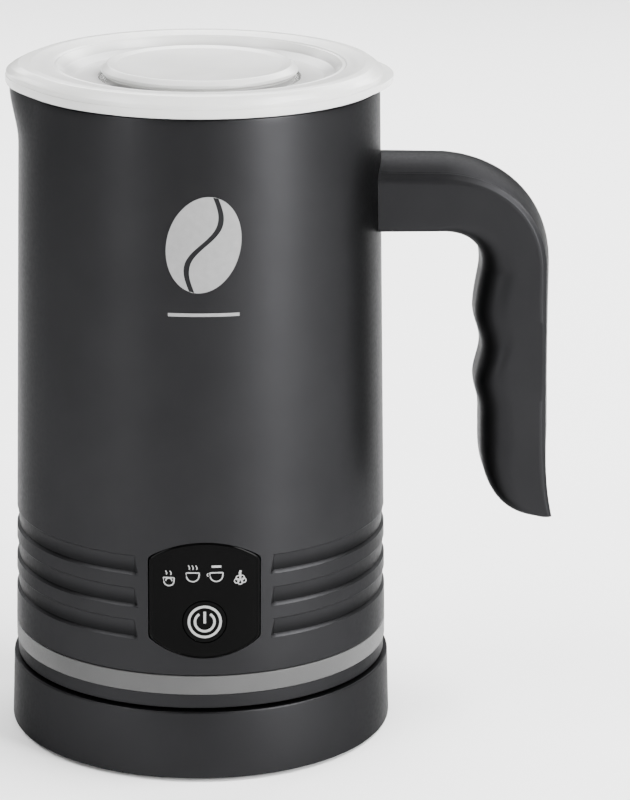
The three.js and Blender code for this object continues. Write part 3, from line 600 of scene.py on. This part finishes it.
def makeGland(form):
    gland = spun("cordGland", [(2.6, 48.4), (5.4, 48.4, 0.5), (5.4, 49.9), (4.0, 49.9), (4.0, 52.3),
                               (6.0, 52.3), (6.0, 53.3, 0.5), (4.4, 53.3, 0.3), (3.9, 53.0, 0.3),
                               (2.6, 53.0, 0.4)], steps=48, centre=(0, 0, 0))
    turnedMesh(gland, shift(axisX, 0, form["cordHeight"]) @ Matrix.Rotation(math.radians(-90), 4, "X"))
    finished(smoothed(gland), "power_base", blackRubber, "foot_rubber", "cord_gland")


makeBaseCover(baseForm)
makeBasePlate(baseForm)
makeFeet(baseForm)
makeScrews(baseForm)
makeConnector(connectorForm)
makeGland(baseForm)
print("power base made")


# jug: floor, band, shell, vessel

panelForm = {"halfWidth": 15.2, "sideLow": 41.1, "sideHigh": 63.9, "low": 35.7, "high": 68.5, "corner": 1.7,
             "proud": 0.15, "thickness": 2.0, "keyHeight": 46.1, "keyRadius": 5.9, "keyGap": 0.18}


def bowedEdge(form, x, low):
    # the panel's ends are arcs: height of the lower or upper one at x
    end, side = (form["low"], form["sideLow"]) if low else (form["high"], form["sideHigh"])
    rise = abs(side - end)
    radius = (form["halfWidth"] ** 2 + rise ** 2) / (2 * rise)
    drop = radius - math.sqrt(radius ** 2 - x ** 2)
    return end + drop if low else end - drop


def panelOutline(form, grow=0.0, arcSteps=14):
    # round the panel from the lower left, with its four corners rounded
    half = form["halfWidth"]
    xs = [half * (-1 + 2 * k / arcSteps) for k in range(1, arcSteps)]
    corners = [(-half, form["sideLow"], form["corner"])]
    corners += [(x, bowedEdge(form, x, True)) for x in xs]
    corners += [(half, form["sideLow"], form["corner"]), (half, form["sideHigh"], form["corner"])]
    corners += [(x, bowedEdge(form, x, False)) for x in reversed(xs)]
    corners += [(-half, form["sideHigh"], form["corner"])]
    middle = Vector((0, form["keyHeight"] + 5))
    points = rounded(corners, steps=5)
    return [point + (point - middle).normalized() * grow for point in points]


def makeFloor():
    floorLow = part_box("jug_floor")[0].z / mm
    top = floorLow + 2.4
    floor = spun("jugFloor", [
        (20.6, floorLow, 0.4), (46.0, floorLow, 0.3), (46.4, floorLow + 0.4, 0.2),
        (47.6, floorLow + 0.4, 0.2), (48.0, floorLow, 0.3), (50.4, floorLow, 0.2),
        (50.8, floorLow - 0.45, 0.2), (52.2, floorLow - 0.45, 0.35), (52.2, 24.85), (49.4, 24.85),
        (49.4, 35), (47.4, 35), (47.4, top), (23.4, top), (23.4, 30.3, 0.3), (20.6, 30.3, 0.3)], steps=192)
    for degrees in jugForm["screwAngles"]:
        x, y = onCircle(jugForm["screwCircle"], degrees)
        for radius, high in ((1.9, 26.0), (3.4, floorLow + 1.3)):
            combined(floor, turnedMesh(bar("screwHole", radius, 20, high), shift(axisX + x, y)))
    finished(smoothed(floor), "jug", basePaint, "base_plastic", "jug_floor")


def makeBand():
    low, high = bandLow.z / mm, bandHigh.z / mm
    band = spun("silverBand", [(49.7, low), (52.5, low, 0.3), (52.5, high, 0.3), (49.7, high)], steps=192)
    finished(smoothed(band), "jug", bandPaint, "silver_trim", "silver_band")


def grooveCutter(bottom, form):
    # deepest at its lower edge, so that its long face looks slightly down and its short slope up
    top = bottom + form["height"]
    inner, shallow = shellRadius(bottom) - form["depth"], shellRadius(top) - form["shallow"]
    lip = shellRadius(bottom - form["slope"])
    turn = 360 - 2 * form["stopAngle"]
    section = [(inner, bottom, 0.25), (lip - 0.02, bottom - form["slope"]), (lip + 2, bottom - form["slope"]),
               (lip + 2, top + 0.25), (shellRadius(top) + 0.02, top + 0.25), (shallow, top, 0.1)]
    cutter = spun("grooveCutter", section, steps=240, degrees=turn, startDegrees=-90 + form["stopAngle"])

    def runOut(x, y, z, radius):
        # the groove gets shallower over the last degrees, beside the panel
        off = abs((math.degrees(math.atan2(y, x)) + 270) % 360 - 180)
        fade = 1 - smoothStep(off, form["stopAngle"], form["stopAngle"] + form["runOut"])
        return fade * form["depth"] if radius < lip - 0.1 else 0.0

    movedOut(cutter, runOut)
    return cutter


def panelCutter(form, grow):
    outline = panelOutline(form, grow)
    bpy.ops.object.select_all(action="DESELECT")
    bpy.ops.mesh.primitive_circle_add(vertices=len(outline), radius=1, fill_type="NGON", location=(0, 0, 0))
    cutter = bpy.context.object
    for vertex, point in zip(cutter.data.vertices, outline):
        vertex.co = Vector((axisX + point.x, -60, point.y)) * mm
    editAll(cutter)
    bpy.ops.mesh.extrude_region_move(TRANSFORM_OT_translate={"value": (0, 20 * mm, 0)})
    bpy.ops.mesh.select_all(action="SELECT")
    bpy.ops.mesh.normals_make_consistent(inside=False)
    bpy.ops.object.mode_set(mode="OBJECT")
    return cutter


def makeShell():
    low, top, wall = shellLow.z / mm, jugForm["topHeight"], jugForm["wall"]
    heights = [36, 70, 110, 150, 168, 170, 172, 174, 176, 178, 180, 182]
    outline = [(shellRadius(low), low, 0.25)] + [(shellRadius(z), z) for z in heights]
    outline += [(shellRadius(top), top, 0.5), (shellRadius(top) - wall, top, 0.5)]
    inner = shellRadius(182.4) - wall
    outline += [(inner, 182.4), (46.9, 182.4, 0.2), (46.9, 181.3, 0.2), (inner, 181.3)]
    outline += [(shellRadius(z) - wall, z) for z in (178, 174, 170, 168, 110, 70)]
    outline += [(shellRadius(low) - wall, low)]
    shell = spun("jugShell", outline, steps=240)
    movedOut(shell, spoutAmount)
    for bottom in grooveForm["bottoms"]:
        combined(shell, grooveCutter(bottom, grooveForm))
    combined(shell, panelCutter(panelForm, 0.12))
    finished(smoothed(shell, 24), "jug", bodyPaint, "body_paint", "jug_shell")


def makeVessel():
    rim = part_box("inner_vessel")[1].z / mm

    def outside(z):
        return 44.9 + (z - 76.8) / (182.7 - 76.8) * 0.4

    heights = (168, 171, 174, 177, 180)
    outline = [(0, 73.8), (outside(76.8), 73.8, 3.2), (outside(120), 120)]
    outline += [(outside(z), z) for z in heights]
    outline += [(outside(rim - 0.8), rim - 0.8, 0.4), (47.5, rim - 0.8, 0.35), (47.5, rim, 0.35)]
    outline += [(outside(rim) - 0.8, rim, 1.2)] + [(outside(z) - 0.8, z) for z in reversed(heights)]
    outline += [(outside(120) - 0.8, 120), (outside(76.8) - 0.8, 74.6, 2.6), (30, 74.6), (0, 74.6)]
    vessel = spun("milkVessel", outline, steps=200)
    movedOut(vessel, spoutAmount)
    finished(smoothed(vessel), "jug", vesselSteel, "stainless_steel", "inner_vessel")
    spindle = spun("whiskSpindle", [
        (0, 74.8), (5, 74.8, 0.3), (5, 75.7, 0.3), (1.8, 76.3, 0.4), (1.8, 88, 0.9), (0, 88)], steps=40)
    finished(smoothed(spindle), "jug", vesselSteel, "stainless_steel", "whisk_spindle")


makeFloor()
makeBand()
makeShell()
makeVessel()
print("jug made")


# control panel, power key and icons

def resampled(points, count, centre):
    # points round a closed outline, spaced by the angle that they are seen at from the centre
    found = []
    for k in range(count):
        angle = 2 * math.pi * k / count - math.pi
        ray = Vector((math.cos(angle), math.sin(angle)))
        best = None
        for a, b in zip(points, points[1:] + points[:1]):
            edge, start = b - a, a - centre
            cross = ray.x * edge.y - ray.y * edge.x
            if abs(cross) < 1e-9:
                continue
            t = (start.x * edge.y - start.y * edge.x) / cross
            s = (start.x * ray.y - start.y * ray.x) / cross
            if t > 0 and -1e-6 <= s <= 1 + 1e-6 and (best is None or t < best):
                best = t
        found.append(centre + ray * best)
    return found


def makePanel(form):
    count = 240
    centre = Vector((0, form["keyHeight"]))
    outline = resampled(panelOutline(form), count, centre)
    hole = form["keyRadius"] + form["keyGap"]
    # each ring: share of the way from the outline to the key's hole, and depth under the face
    rings = [(0, form["thickness"]), (0, 0.35), (0.0, 0.22), (0.012, 0.06), (0.03, 0.0), (0.055, 0.0),
             (0.066, 0.10), (0.08, 0.13)]
    rings += [(0.08 + 0.9 * k / 16, 0.13) for k in range(1, 16)]
    rings += [(0.99, 0.13), (1.0, 0.22), (1.0, form["thickness"])]

    def place(u, v):
        i = round(u * count) % count
        share, depth = rings[round(v * (len(rings) - 1))]
        ray = (outline[i] - centre).normalized()
        point = outline[i].lerp(centre + ray * hole, share)
        return onShell(point.x, point.y, form["proud"] - depth)

    panel = gridForm("controlPanel", count, len(rings) - 1, place)
    closeBack(panel)
    finished(smoothed(panel, 40), "jug", panelAcrylic, "panel_gloss", "control_panel")


def closeBack(piece):
    # joins the two open loops at the back of a plate with a hole
    editAll(piece)
    bpy.ops.mesh.select_all(action="DESELECT")
    bpy.ops.mesh.select_mode(type="EDGE")
    bpy.ops.mesh.select_non_manifold(extend=False, use_wire=False, use_boundary=True, use_multi_face=False,
                                     use_non_contiguous=False, use_verts=False)
    bpy.ops.mesh.bridge_edge_loops()
    bpy.ops.mesh.select_mode(type="VERT")
    bpy.ops.mesh.select_all(action="SELECT")
    bpy.ops.mesh.normals_make_consistent(inside=False)
    bpy.ops.object.mode_set(mode="OBJECT")


def makeKey(form):
    count = 96
    # each ring: radius on the key, and depth under the panel's face; the last ones are the retaining flange
    rings = [(0.0, 0.22)] + [(form["keyRadius"] * k / 6, 0.22 - 0.09 * (k / 6) ** 2) for k in range(1, 6)]
    rings += [(form["keyRadius"] - 0.25, 0.13), (form["keyRadius"] - 0.06, 0.17), (form["keyRadius"], 0.3),
              (form["keyRadius"], 3.0), (7.2, 3.0), (7.2, 3.6), (0.0, 3.6)]

    def place(u, v):
        radius, depth = rings[round(v * (len(rings) - 1))]
        x, z = onCircle(radius, u * 360)
        return onShell(x, form["keyHeight"] + z, form["proud"] - depth)

    key = gridForm("powerKey", count, len(rings) - 1, place)
    finished(smoothed(key, 40), "power_button", panelAcrylic, "panel_gloss", "power_button")


def inkLine(points, width):
    # a printed line: a round wire that is later pressed flat on the face
    return wire("inkLine", [(x, 0, z) for x, z in points], width)


def printed(name, lines, body, material, slot, proud, lift=0.03):
    # turns lines into one mesh, flattens it and lays it on the shell's curve
    bpy.ops.object.select_all(action="DESELECT")
    for line in lines:
        line.select_set(True)
    bpy.context.view_layer.objects.active = lines[0]
    bpy.ops.object.convert(target="MESH")
    bpy.ops.object.join()
    piece = bpy.context.object
    piece.name = name
    for vertex in piece.data.vertices:
        x, y, z = vertex.co / mm
        vertex.co = Vector(onShell(x, z, proud + lift - 0.1 * y)) * mm
    return finished(smoothed(piece, 60), body, material, slot)


def arcPoints(x, z, radius, start, end, steps=40, squash=1.0):
    return [(x + radius * math.cos(math.radians(start + (end - start) * k / steps)),
             z + squash * radius * math.sin(math.radians(start + (end - start) * k / steps)))
            for k in range(steps + 1)]


def cupLines(x, z, wide, deep, stroke):
    # a round-bottomed cup seen from the side, with its rim
    left = [(x - wide / 2, z + deep / 2), (x - wide / 2 + 0.1, z)]
    bowl = arcPoints(x, z + 0.1, wide / 2 - 0.1, 180, 360, 16, 0.95)
    return [inkLine(left + bowl + [(x + wide / 2, z + deep / 2)], stroke),
            inkLine([(x - wide / 2, z + deep / 2), (x + wide / 2, z + deep / 2)], stroke)]


def steamLine(x, z, stroke, high=1.1):
    return inkLine([(x + 0.16 * math.sin(4.5 * k / 6), z + high * k / 6) for k in range(7)], stroke)


def modeIcons():
    # left to right: milk with a head of froth, hot milk, cold milk, froth alone
    stroke = 0.34
    lines = cupLines(-9.7, 57.5, 3.0, 2.1, stroke)
    lines += [inkLine(arcPoints(-9.7, 57.6, 0.85, 0, 180, 12), stroke)]
    lines += [steamLine(-9.7 + dx, 59.4, 0.32) for dx in (-0.7, 0.5)]
    lines += cupLines(-3.2, 59.1, 3.6, 1.9, stroke)
    lines += [steamLine(-3.2 + dx, 61.0, 0.3, 1.2) for dx in (-1, 0, 1)]
    lines += cupLines(3.2, 59.1, 3.6, 1.9, stroke)
    lines += [inkLine([(1.9, 61.8), (4.5, 61.8)], 0.6), inkLine(arcPoints(1.1, 59.5, 0.4, 100, 260, 8), 0.28)]
    bubbles = ((-0.95, 57.5), (0, 57.1), (0.95, 57.5), (-0.5, 58.3), (0.5, 58.3))
    lines += [inkLine(arcPoints(9.7 + dx, z, 0.65, 0, 360, 16), 0.28) for dx, z in bubbles]
    lines += [inkLine([(9.7, 58.9), (9.62, 59.7), (9.8, 60.4)], 0.65)]
    printed("modeIcons", lines, "jug", iconInk, "lamp_lens", panelForm["proud"] - 0.13)


def powerIcon():
    z = panelForm["keyHeight"]
    lines = [inkLine(arcPoints(0, z, 4.3, 0, 360, 72), 0.68),
             inkLine(arcPoints(0, z, 2.65, 124, 416, 48), 0.66),
             inkLine([(0, z - 0.4), (0, z + 2.9)], 0.68)]
    printed("powerIcon", lines, "power_button", iconInk, "lamp_lens", panelForm["proud"] - 0.15)


makePanel(panelForm)
makeKey(panelForm)
modeIcons()
powerIcon()
print("control panel made")


# coffee bean mark on the front

markForm = {"height": 150.6, "halfWide": 9.8, "halfHigh": 13.1, "seam": 1.5, "lean": -14.0, "print": 0.12,
            "barLength": 19.0, "barHeight": 131.7}


def makeMark(form):
    lean = math.radians(form["lean"])
    for side, name in ((-1, "beanLeft"), (1, "beanRight")):
        def place(u, v, side=side):
            t = math.sin((v - 0.5) * math.pi)
            edge = side * form["halfWide"] * math.cos((v - 0.5) * math.pi)
            seam = 0.30 * form["halfWide"] * math.sin(math.pi * t) + side * form["seam"] / 2
            seam = min(seam, edge) if side > 0 else max(seam, edge)
            x, z = seam + (edge - seam) * u, form["halfHigh"] * t
            return onShell(x * math.cos(lean) - z * math.sin(lean),
                           form["height"] + x * math.sin(lean) + z * math.cos(lean), form["print"] / 2)

        half = gridForm(name, 24, 72, place, thickness=form["print"])
        finished(smoothed(half, 40), "jug", markInk, "silver_trim")
    half = form["barLength"] / 2
    underline = inkLine([(-half + 2 * half * k / 12, form["barHeight"]) for k in range(13)], 0.9)
    printed("markBar", [underline], "jug", markInk, "silver_trim", 0.0)


makeMark(markForm)
print("mark made")


# handle

handleForm = {"halfWidth": 13.0, "chamfer": 0.85, "coverDeep": 2.4, "seam": 0.06, "wall": 1.3,
              "coverEnd": 66.0}

# the back and the finger side in step, from the jug to the tip: root, elbow, grip and tail.
# crown is how far the middle of the back stands out, and round the radius of the finger side's corners
handleRuns = [
    {"back": ("bezier", (44, 160.6), (67, 160.2)), "front": ("bezier", (44, 144.4), (65, 144.4)),
     "crown": (3.8, 3.8), "round": (1.6, 1.6), "steps": 12},
    {"back": ("bezier", (67, 160.2), (82, 159.6), (94.4, 150), (95.1, 134)),
     "front": ("bezier", (65, 144.4), (73, 144.3), (79, 140), (77.9, 131.5)),
     "crown": (3.8, 2.0), "round": (1.6, 9.5), "steps": 44},
    {"back": ("bezier", (95.1, 134), (95.9, 86)),
     "front": ("through", (77.9, 131.5), (76.4, 119.4), (78.5, 109.8), (76.8, 99.9), (78.3, 92.4), (78.5, 87),
               (78.6, 82)),
     "crown": (2.0, 1.8), "round": (9.5, 9.5), "steps": 72},
    {"back": ("bezier", (95.9, 86), (96.2, 76), (97, 68), (98.6, 61.8)),
     "front": ("bezier", (78.6, 82), (79, 70), (84, 62), (94, 61.8)),
     "crown": (1.8, 0.0), "round": (9.5, 3.0), "steps": 36},
]


def bezier(points, t):
    points = [Vector(p) for p in points]
    while len(points) > 1:
        points = [a.lerp(b, t) for a, b in zip(points, points[1:])]
    return points[0]


def throughPoints(points, t):
    # a smooth curve through the points
    scaled = min(t * (len(points) - 1), len(points) - 1 - 1e-9)
    i = int(scaled)
    f = scaled - i
    p = [Vector(points[min(max(i + k, 0), len(points) - 1)]) for k in (-1, 0, 1, 2)]
    return 0.5 * ((2 * p[1]) + (p[2] - p[0]) * f + (2 * p[0] - 5 * p[1] + 4 * p[2] - p[3]) * f ** 2
                  + (3 * p[1] - p[0] - 3 * p[2] + p[3]) * f ** 3)


def onRun(curve, t):
    return (bezier if curve[0] == "bezier" else throughPoints)(curve[1:], t)


def handleStations():
    found = []
    for i, run in enumerate(handleRuns):
        for k in range(1 if i else 0, run["steps"] + 1):
            t = k / run["steps"]
            back, front = onRun(run["back"], t), onRun(run["front"], t)
            values = [a + (b - a) * t for a, b in (run["crown"], run["round"])]
            found.append({"back": back, "inward": (front - back).normalized(), "deep": (front - back).length,
                          "crown": values[0], "round": values[1]})
    return found


def crownDepth(form, station, y):
    return -station["crown"] * (1 - (y / form["halfWidth"]) ** 2)


def alongHandle(name, stations, section):
    # a closed solid whose section(station) is a loop of (y, depth) points, depth going in from the back
    loops = []
    for station in stations:
        loop = []
        for y, depth in section(station):
            point = station["back"] + station["inward"] * depth
            loop.append((axisX + point.x, y, point.y))
        loops.append(loop)
    around, last = len(loops[0]), len(loops) - 1
    return tube(name, around, last, lambda u, v: loops[round(v * last)][round(u * around) % around])


def mirrored(side):
    return side + [(-y, depth) for y, depth in reversed(side[1:])]


def gripSection(form, station):
    # crowned back, a small chamfer, flat sides, and a rounder and rounder finger side
    half, chamfer, deep = form["halfWidth"], form["chamfer"], station["deep"]
    corner = min(station["round"], deep - 2 * chamfer)
    side = [(y, crownDepth(form, station, y)) for y in [(half - chamfer) * k / 12 for k in range(13)]]
    side += [(half - 0.75 * chamfer, chamfer * 0.08), (half - 0.12, chamfer * 0.86), (half, chamfer * 1.15)]
    side += [(half, chamfer * 1.15 + (deep - corner - chamfer * 1.15) * k / 8) for k in range(1, 8)]
    side += [(half - corner + corner * math.cos(math.pi / 2 * k / 14),
              deep - corner + corner * math.sin(math.pi / 2 * k / 14)) for k in range(15)]
    side += [((half - corner) * (1 - k / 4), deep) for k in range(1, 4)]
    return side + [(0.0, deep)] + [(-y, depth) for y, depth in reversed(side[1:])]


def stripSection(form, station, half, deep, rise):
    # the strip that closes the handle's back, or the room for it when it rises past the surface
    edge = 0.2 if rise == 0 else 0.0
    side = [(y, crownDepth(form, station, y) - rise) for y in [(half - edge) * k / 12 for k in range(13)]]
    if edge:
        side.append((half, crownDepth(form, station, half) + edge))
    return mirrored(side + [(half, deep)])


def jugCutter():
    # the jug's outside, grown by the seam between it and the handle
    low, high, grow = 120, 175, 0.08
    return spun("jugCutter", [(0, low), (shellRadius(low) + grow, low), (shellRadius(high) + grow, high),
                              (0, high)], steps=240)


def makeHandle(form):
    stations = handleStations()
    covered = [station for station in stations if station["back"].y > form["coverEnd"]]
    half = form["halfWidth"] - form["wall"]
    body = alongHandle("handleBody", stations, lambda station: gripSection(form, station))
    combined(body, alongHandle("coverSeat", covered, lambda station: stripSection(
        form, station, half + form["seam"], form["coverDeep"] + 0.3, 1.5)))
    combined(body, jugCutter())
    finished(smoothed(body, 28), "jug", handlePaint, "body_paint", "handle_body")
    cover = alongHandle("handleCover", covered, lambda station: stripSection(
        form, station, half, form["coverDeep"], 0))
    combined(cover, jugCutter())
    finished(smoothed(cover, 28), "jug", handlePaint, "body_paint", "handle_cover")


makeHandle(handleForm)
print("handle made")


# whisk

whiskForm = {"radius": 16.0, "height": 84.0, "wire": 0.6, "coilWire": 0.32, "coilRadius": 2.3, "turns": 63}


def makeWhisk(form):
    hub = spun("whiskHub", [
        (0, 88.6), (2.2, 88.6, 0.5), (2.2, 76.6, 0.3), (13, 76.6, 0.5), (13, 81, 0.9), (7.2, 81, 0.6),
        (5.0, 82.4, 1.2), (4.0, 83.5, 0.8), (4.0, 91, 1.4), (0, 91)], steps=96)
    for side in (-1, 1):
        combined(hub, turnedMesh(bar("magnetPocket", 3.4, 75, 79.6), shift(axisX + side * 9)))
    finished(smoothed(hub), "whisk", innerPlastic, "inner_plastic", "whisk_hub")

    def ringPoint(u, v, radius, tubeRadius):
        angle, aroundWire = 2 * math.pi * v, 2 * math.pi * u
        r = radius + tubeRadius * math.cos(aroundWire)
        return (axisX + r * math.cos(angle), r * math.sin(angle),
                form["height"] + tubeRadius * math.sin(aroundWire))

    hoop = gridForm("whiskFrame", 16, 144, lambda u, v: ringPoint(u, v, form["radius"], form["wire"]))
    collar = spun("collar", [(4.15, 83.1, 0.2), (5.5, 83.1, 0.4), (5.5, 84.9, 0.4), (4.15, 84.9, 0.2)],
                  steps=48)
    combined(hoop, collar, "UNION")
    for degrees in (0, 120, 240):
        spoke = bar("spoke", form["wire"], 4.9, form["radius"], 16)
        turnedMesh(spoke, shift(axisX, 0, form["height"]) @ Matrix.Rotation(math.radians(degrees), 4, "Z")
                   @ Matrix.Rotation(math.radians(90), 4, "Y"))
        combined(hoop, spoke, "UNION")
    finished(smoothed(hoop, 45), "whisk", wireSteel, "stainless_steel", "whisk_frame")

    steps = form["turns"] * 14
    helix = []
    for k in range(steps + 1):
        around = 2 * math.pi * (0.004 + 0.992 * k / steps)       # its two ends don't quite meet
        phase = 2 * math.pi * form["turns"] * k / steps
        r = form["radius"] + form["coilRadius"] * math.cos(phase)
        helix.append((axisX + r * math.cos(around), r * math.sin(around),
                      form["height"] + form["coilRadius"] * math.sin(phase)))
    coil = wire("frothCoil", helix, form["coilWire"] * 2, 1)
    selectOnly(coil)
    bpy.ops.object.convert(target="MESH")
    coil = bpy.context.object
    finished(smoothed(coil, 60), "whisk", wireSteel, "stainless_steel", "froth_coil")


makeWhisk(whiskForm)
print("whisk made")


# lid

lidForm = {"low": 184.3, "radius": 50.2, "tabSwell": 2.7, "tabHalfAngle": 38.0, "spoutSwell": 2.6,
           "spoutHalfAngle": 30.0, "brimLow": 184.9, "brimHigh": 186.7}


def lidAmount(x, y, z, radius):
    form = lidForm
    outside = smoothStep(radius, form["radius"] - 6.5, form["radius"] - 0.5) if z > form["low"] - 0.1 else 0.0
    spout = form["spoutSwell"] * outside * window(x, y, 180, form["spoutHalfAngle"])
    if radius > form["radius"] + 0.05:
        return spout + form["tabSwell"] * window(x, y, 0, form["tabHalfAngle"])
    return spout


def makeLid(form):
    # outside from the rim over the bead and the recess to the knob, then back underneath to the plug
    low, wide = form["low"], form["radius"]
    outline = [
        (wide, low, 0.35), (wide, form["brimLow"]), (wide + 0.2, form["brimLow"], 0.08),
        (wide + 0.2, form["brimHigh"], 0.08), (wide, form["brimHigh"]), (wide, 187.9, 0.7),
        (48.9, 189.0, 0.7), (47.6, 189.9, 0.8), (45.4, 190.0, 0.5), (43.2, 189.75, 0.4),
        (40.3, 189.5, 0.2), (39.9, 189.1, 0.15), (39.5, 189.2, 0.15),
        (39.0, 189.3, 0.3), (37.0, 187.2, 1.0), (34.0, 186.0, 1.0), (27.8, 185.9, 0.2), (27.3, 185.1, 0.2),
        (26.0, 185.1, 0.2), (26.1, 186.9, 0.3), (27.0, 187.5, 0.3), (26.9, 188.3, 0.4), (25.2, 189.5, 0.6),
        (22.6, 189.1, 0.7), (14, 188.7), (0, 188.6),
        (0, 187.2), (14, 187.3), (23.4, 187.9, 0.6), (25.0, 183.5, 0.5), (29.0, 183.5, 0.5),
        (29.4, 184.6, 0.4), (34.6, 184.7, 1.0), (38.6, 187.7, 0.8), (41.0, 188.0, 0.5),
        (42.0, 187.4, 0.4), (42.0, 174, 0.4), (43.4, 174, 0.4),
        (43.4, 176.0), (42.7, 176.0), (42.7, 178.4), (43.4, 178.4), (43.4, 187.9, 0.5), (47.4, 187.9, 0.6),
        (48.7, 186.9, 0.6), (48.7, low, 0.3)]
    lid = spun("lidCover", outline, steps=240)
    movedOut(lid, lidAmount)
    finished(smoothed(lid, 30), "lid", lidPlastic, "frosted_lid", "lid_cover")
    seal = spun("lidSeal", [(43.0, 176.3), (43.7, 176.3, 0.2), (44.1, 177.2, 0.4), (43.7, 178.1, 0.2),
                            (43.0, 178.1)], steps=160)
    finished(smoothed(seal), "lid", sealSilicone, "seal_silicone", "lid_seal")


makeLid(lidForm)
print("lid made")


# CAD nodes that stay, with their real finishes

keptFinishes = {
    screwSteel: ("handle_screw_1", "handle_screw_2", "motor_can", "motor_shaft", "temperature_sensor"),
    vesselSteel: ("heater_ring",),
    plateAluminium: ("heater_plate",),
    whitePlastic: ("motor_bracket", "thermal_cutout", "magnet_carrier"),
    innerPlastic: ("cord_clamp", "button_switch"),
    solderMask: ("main_board", "panel_board"),
    darkFerrite: ("drive_magnet_1", "drive_magnet_2", "whisk_magnet_1", "whisk_magnet_2"),
    lampPlastic: ("panel_lamp_1", "panel_lamp_2", "panel_lamp_3", "panel_lamp_4"),
}
for material, nodes in keptFinishes.items():
    for node in nodes:
        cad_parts[node].data.materials.clear()
        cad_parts[node].data.materials.append(material)
print("kept nodes finished")


# floor, light and camera

studio = {"floor": "#f4f4f4", "worldFront": 0.12, "worldBack": 1.8, "lens": 157.0,
          "cameraPlace": (-40.1, -939.8, 375.2), "pitch": 73.303, "yaw": -3.048, "roll": 0.408}

# soft boxes aimed at the jug: place and size in metres, power in watts
softBoxes = {
    "keyRight": ((1.0, -1.0, 0.5), (0.35, 0.95), 54),
    "fillLeft": ((-1.1, -1.0, 0.5), (0.25, 0.95), 14),
    "highRight": ((0.8, -0.15, 1.3), (0.8, 0.8), 52),
    "highLeft": ((-0.8, -0.15, 1.3), (0.6, 0.6), 18),
    "rearLeft": ((-0.95, 1.05, 0.5), (0.3, 0.95), 10),
    "rearRight": ((0.95, 1.05, 0.5), (0.3, 0.95), 10),
    "topBack": ((0.15, 1.0, 0.95), (1.6, 0.7), 30),
}


def makeFloorPlane(form):
    bpy.ops.object.select_all(action="DESELECT")
    bpy.ops.mesh.primitive_plane_add(size=14, location=(0, 3, 0))
    plane = bpy.context.object
    plane.name = "studioFloor"
    paper = startMaterial("palePaper", Base_Color=linear(form["floor"]), Roughness=0.9)[0]
    plane.data.materials.append(paper)


def softBox(name, place, target, size, power):
    light = bpy.data.lights.new(name, "AREA")
    light.shape = "RECTANGLE"
    light.size, light.size_y = size
    light.energy = power
    lamp = bpy.data.objects.new(name, light)
    bpy.context.scene.collection.objects.link(lamp)
    lamp.location = place
    direction = Vector(target) - Vector(place)
    lamp.rotation_euler = direction.to_track_quat("-Z", "Y").to_euler()


def makeWorld(form):
    # a pale wall behind the jug, in a dim room
    world = bpy.data.worlds.new("paleStudio")
    bpy.context.scene.world = world
    world.use_nodes = True
    tree = world.node_tree
    place = addNode(tree, "ShaderNodeTexCoord").outputs["Generated"]
    split = addNode(tree, "ShaderNodeSeparateXYZ", links={"Vector": place})
    ranged = addNode(tree, "ShaderNodeMapRange", inputs={
        "From Min": 0.3, "From Max": 0.97, "To Min": form["worldFront"], "To Max": form["worldBack"]},
        links={"Value": split.outputs["Y"]})
    tree.links.new(ranged.outputs["Result"], tree.nodes["Background"].inputs["Strength"])


def makeCamera(form):
    camera = bpy.data.cameras.new("studioCamera")
    camera.lens = form["lens"]
    camera.sensor_width = 36
    holder = bpy.data.objects.new("studioCamera", camera)
    bpy.context.scene.collection.objects.link(holder)
    yaw, pitch, roll = (Matrix.Rotation(math.radians(form[key]), 4, axis)
                        for key, axis in (("yaw", "Z"), ("pitch", "X"), ("roll", "Z")))
    holder.matrix_world = Matrix.Translation(Vector(form["cameraPlace"]) * mm) @ yaw @ pitch @ roll
    bpy.context.scene.camera = holder


makeFloorPlane(studio)
makeWorld(studio)
makeCamera(studio)
for name, (place, size, power) in softBoxes.items():
    softBox(name, place, (axisX * mm, 0, 0.1), size, power)
softBox("farFloor", (0.0, 5.5, 3.0), (0.0, 5.5, 0.0), (6.0, 6.0), 260)       # keeps the far floor pale
print("studio made")

bpy.context.view_layer.update()
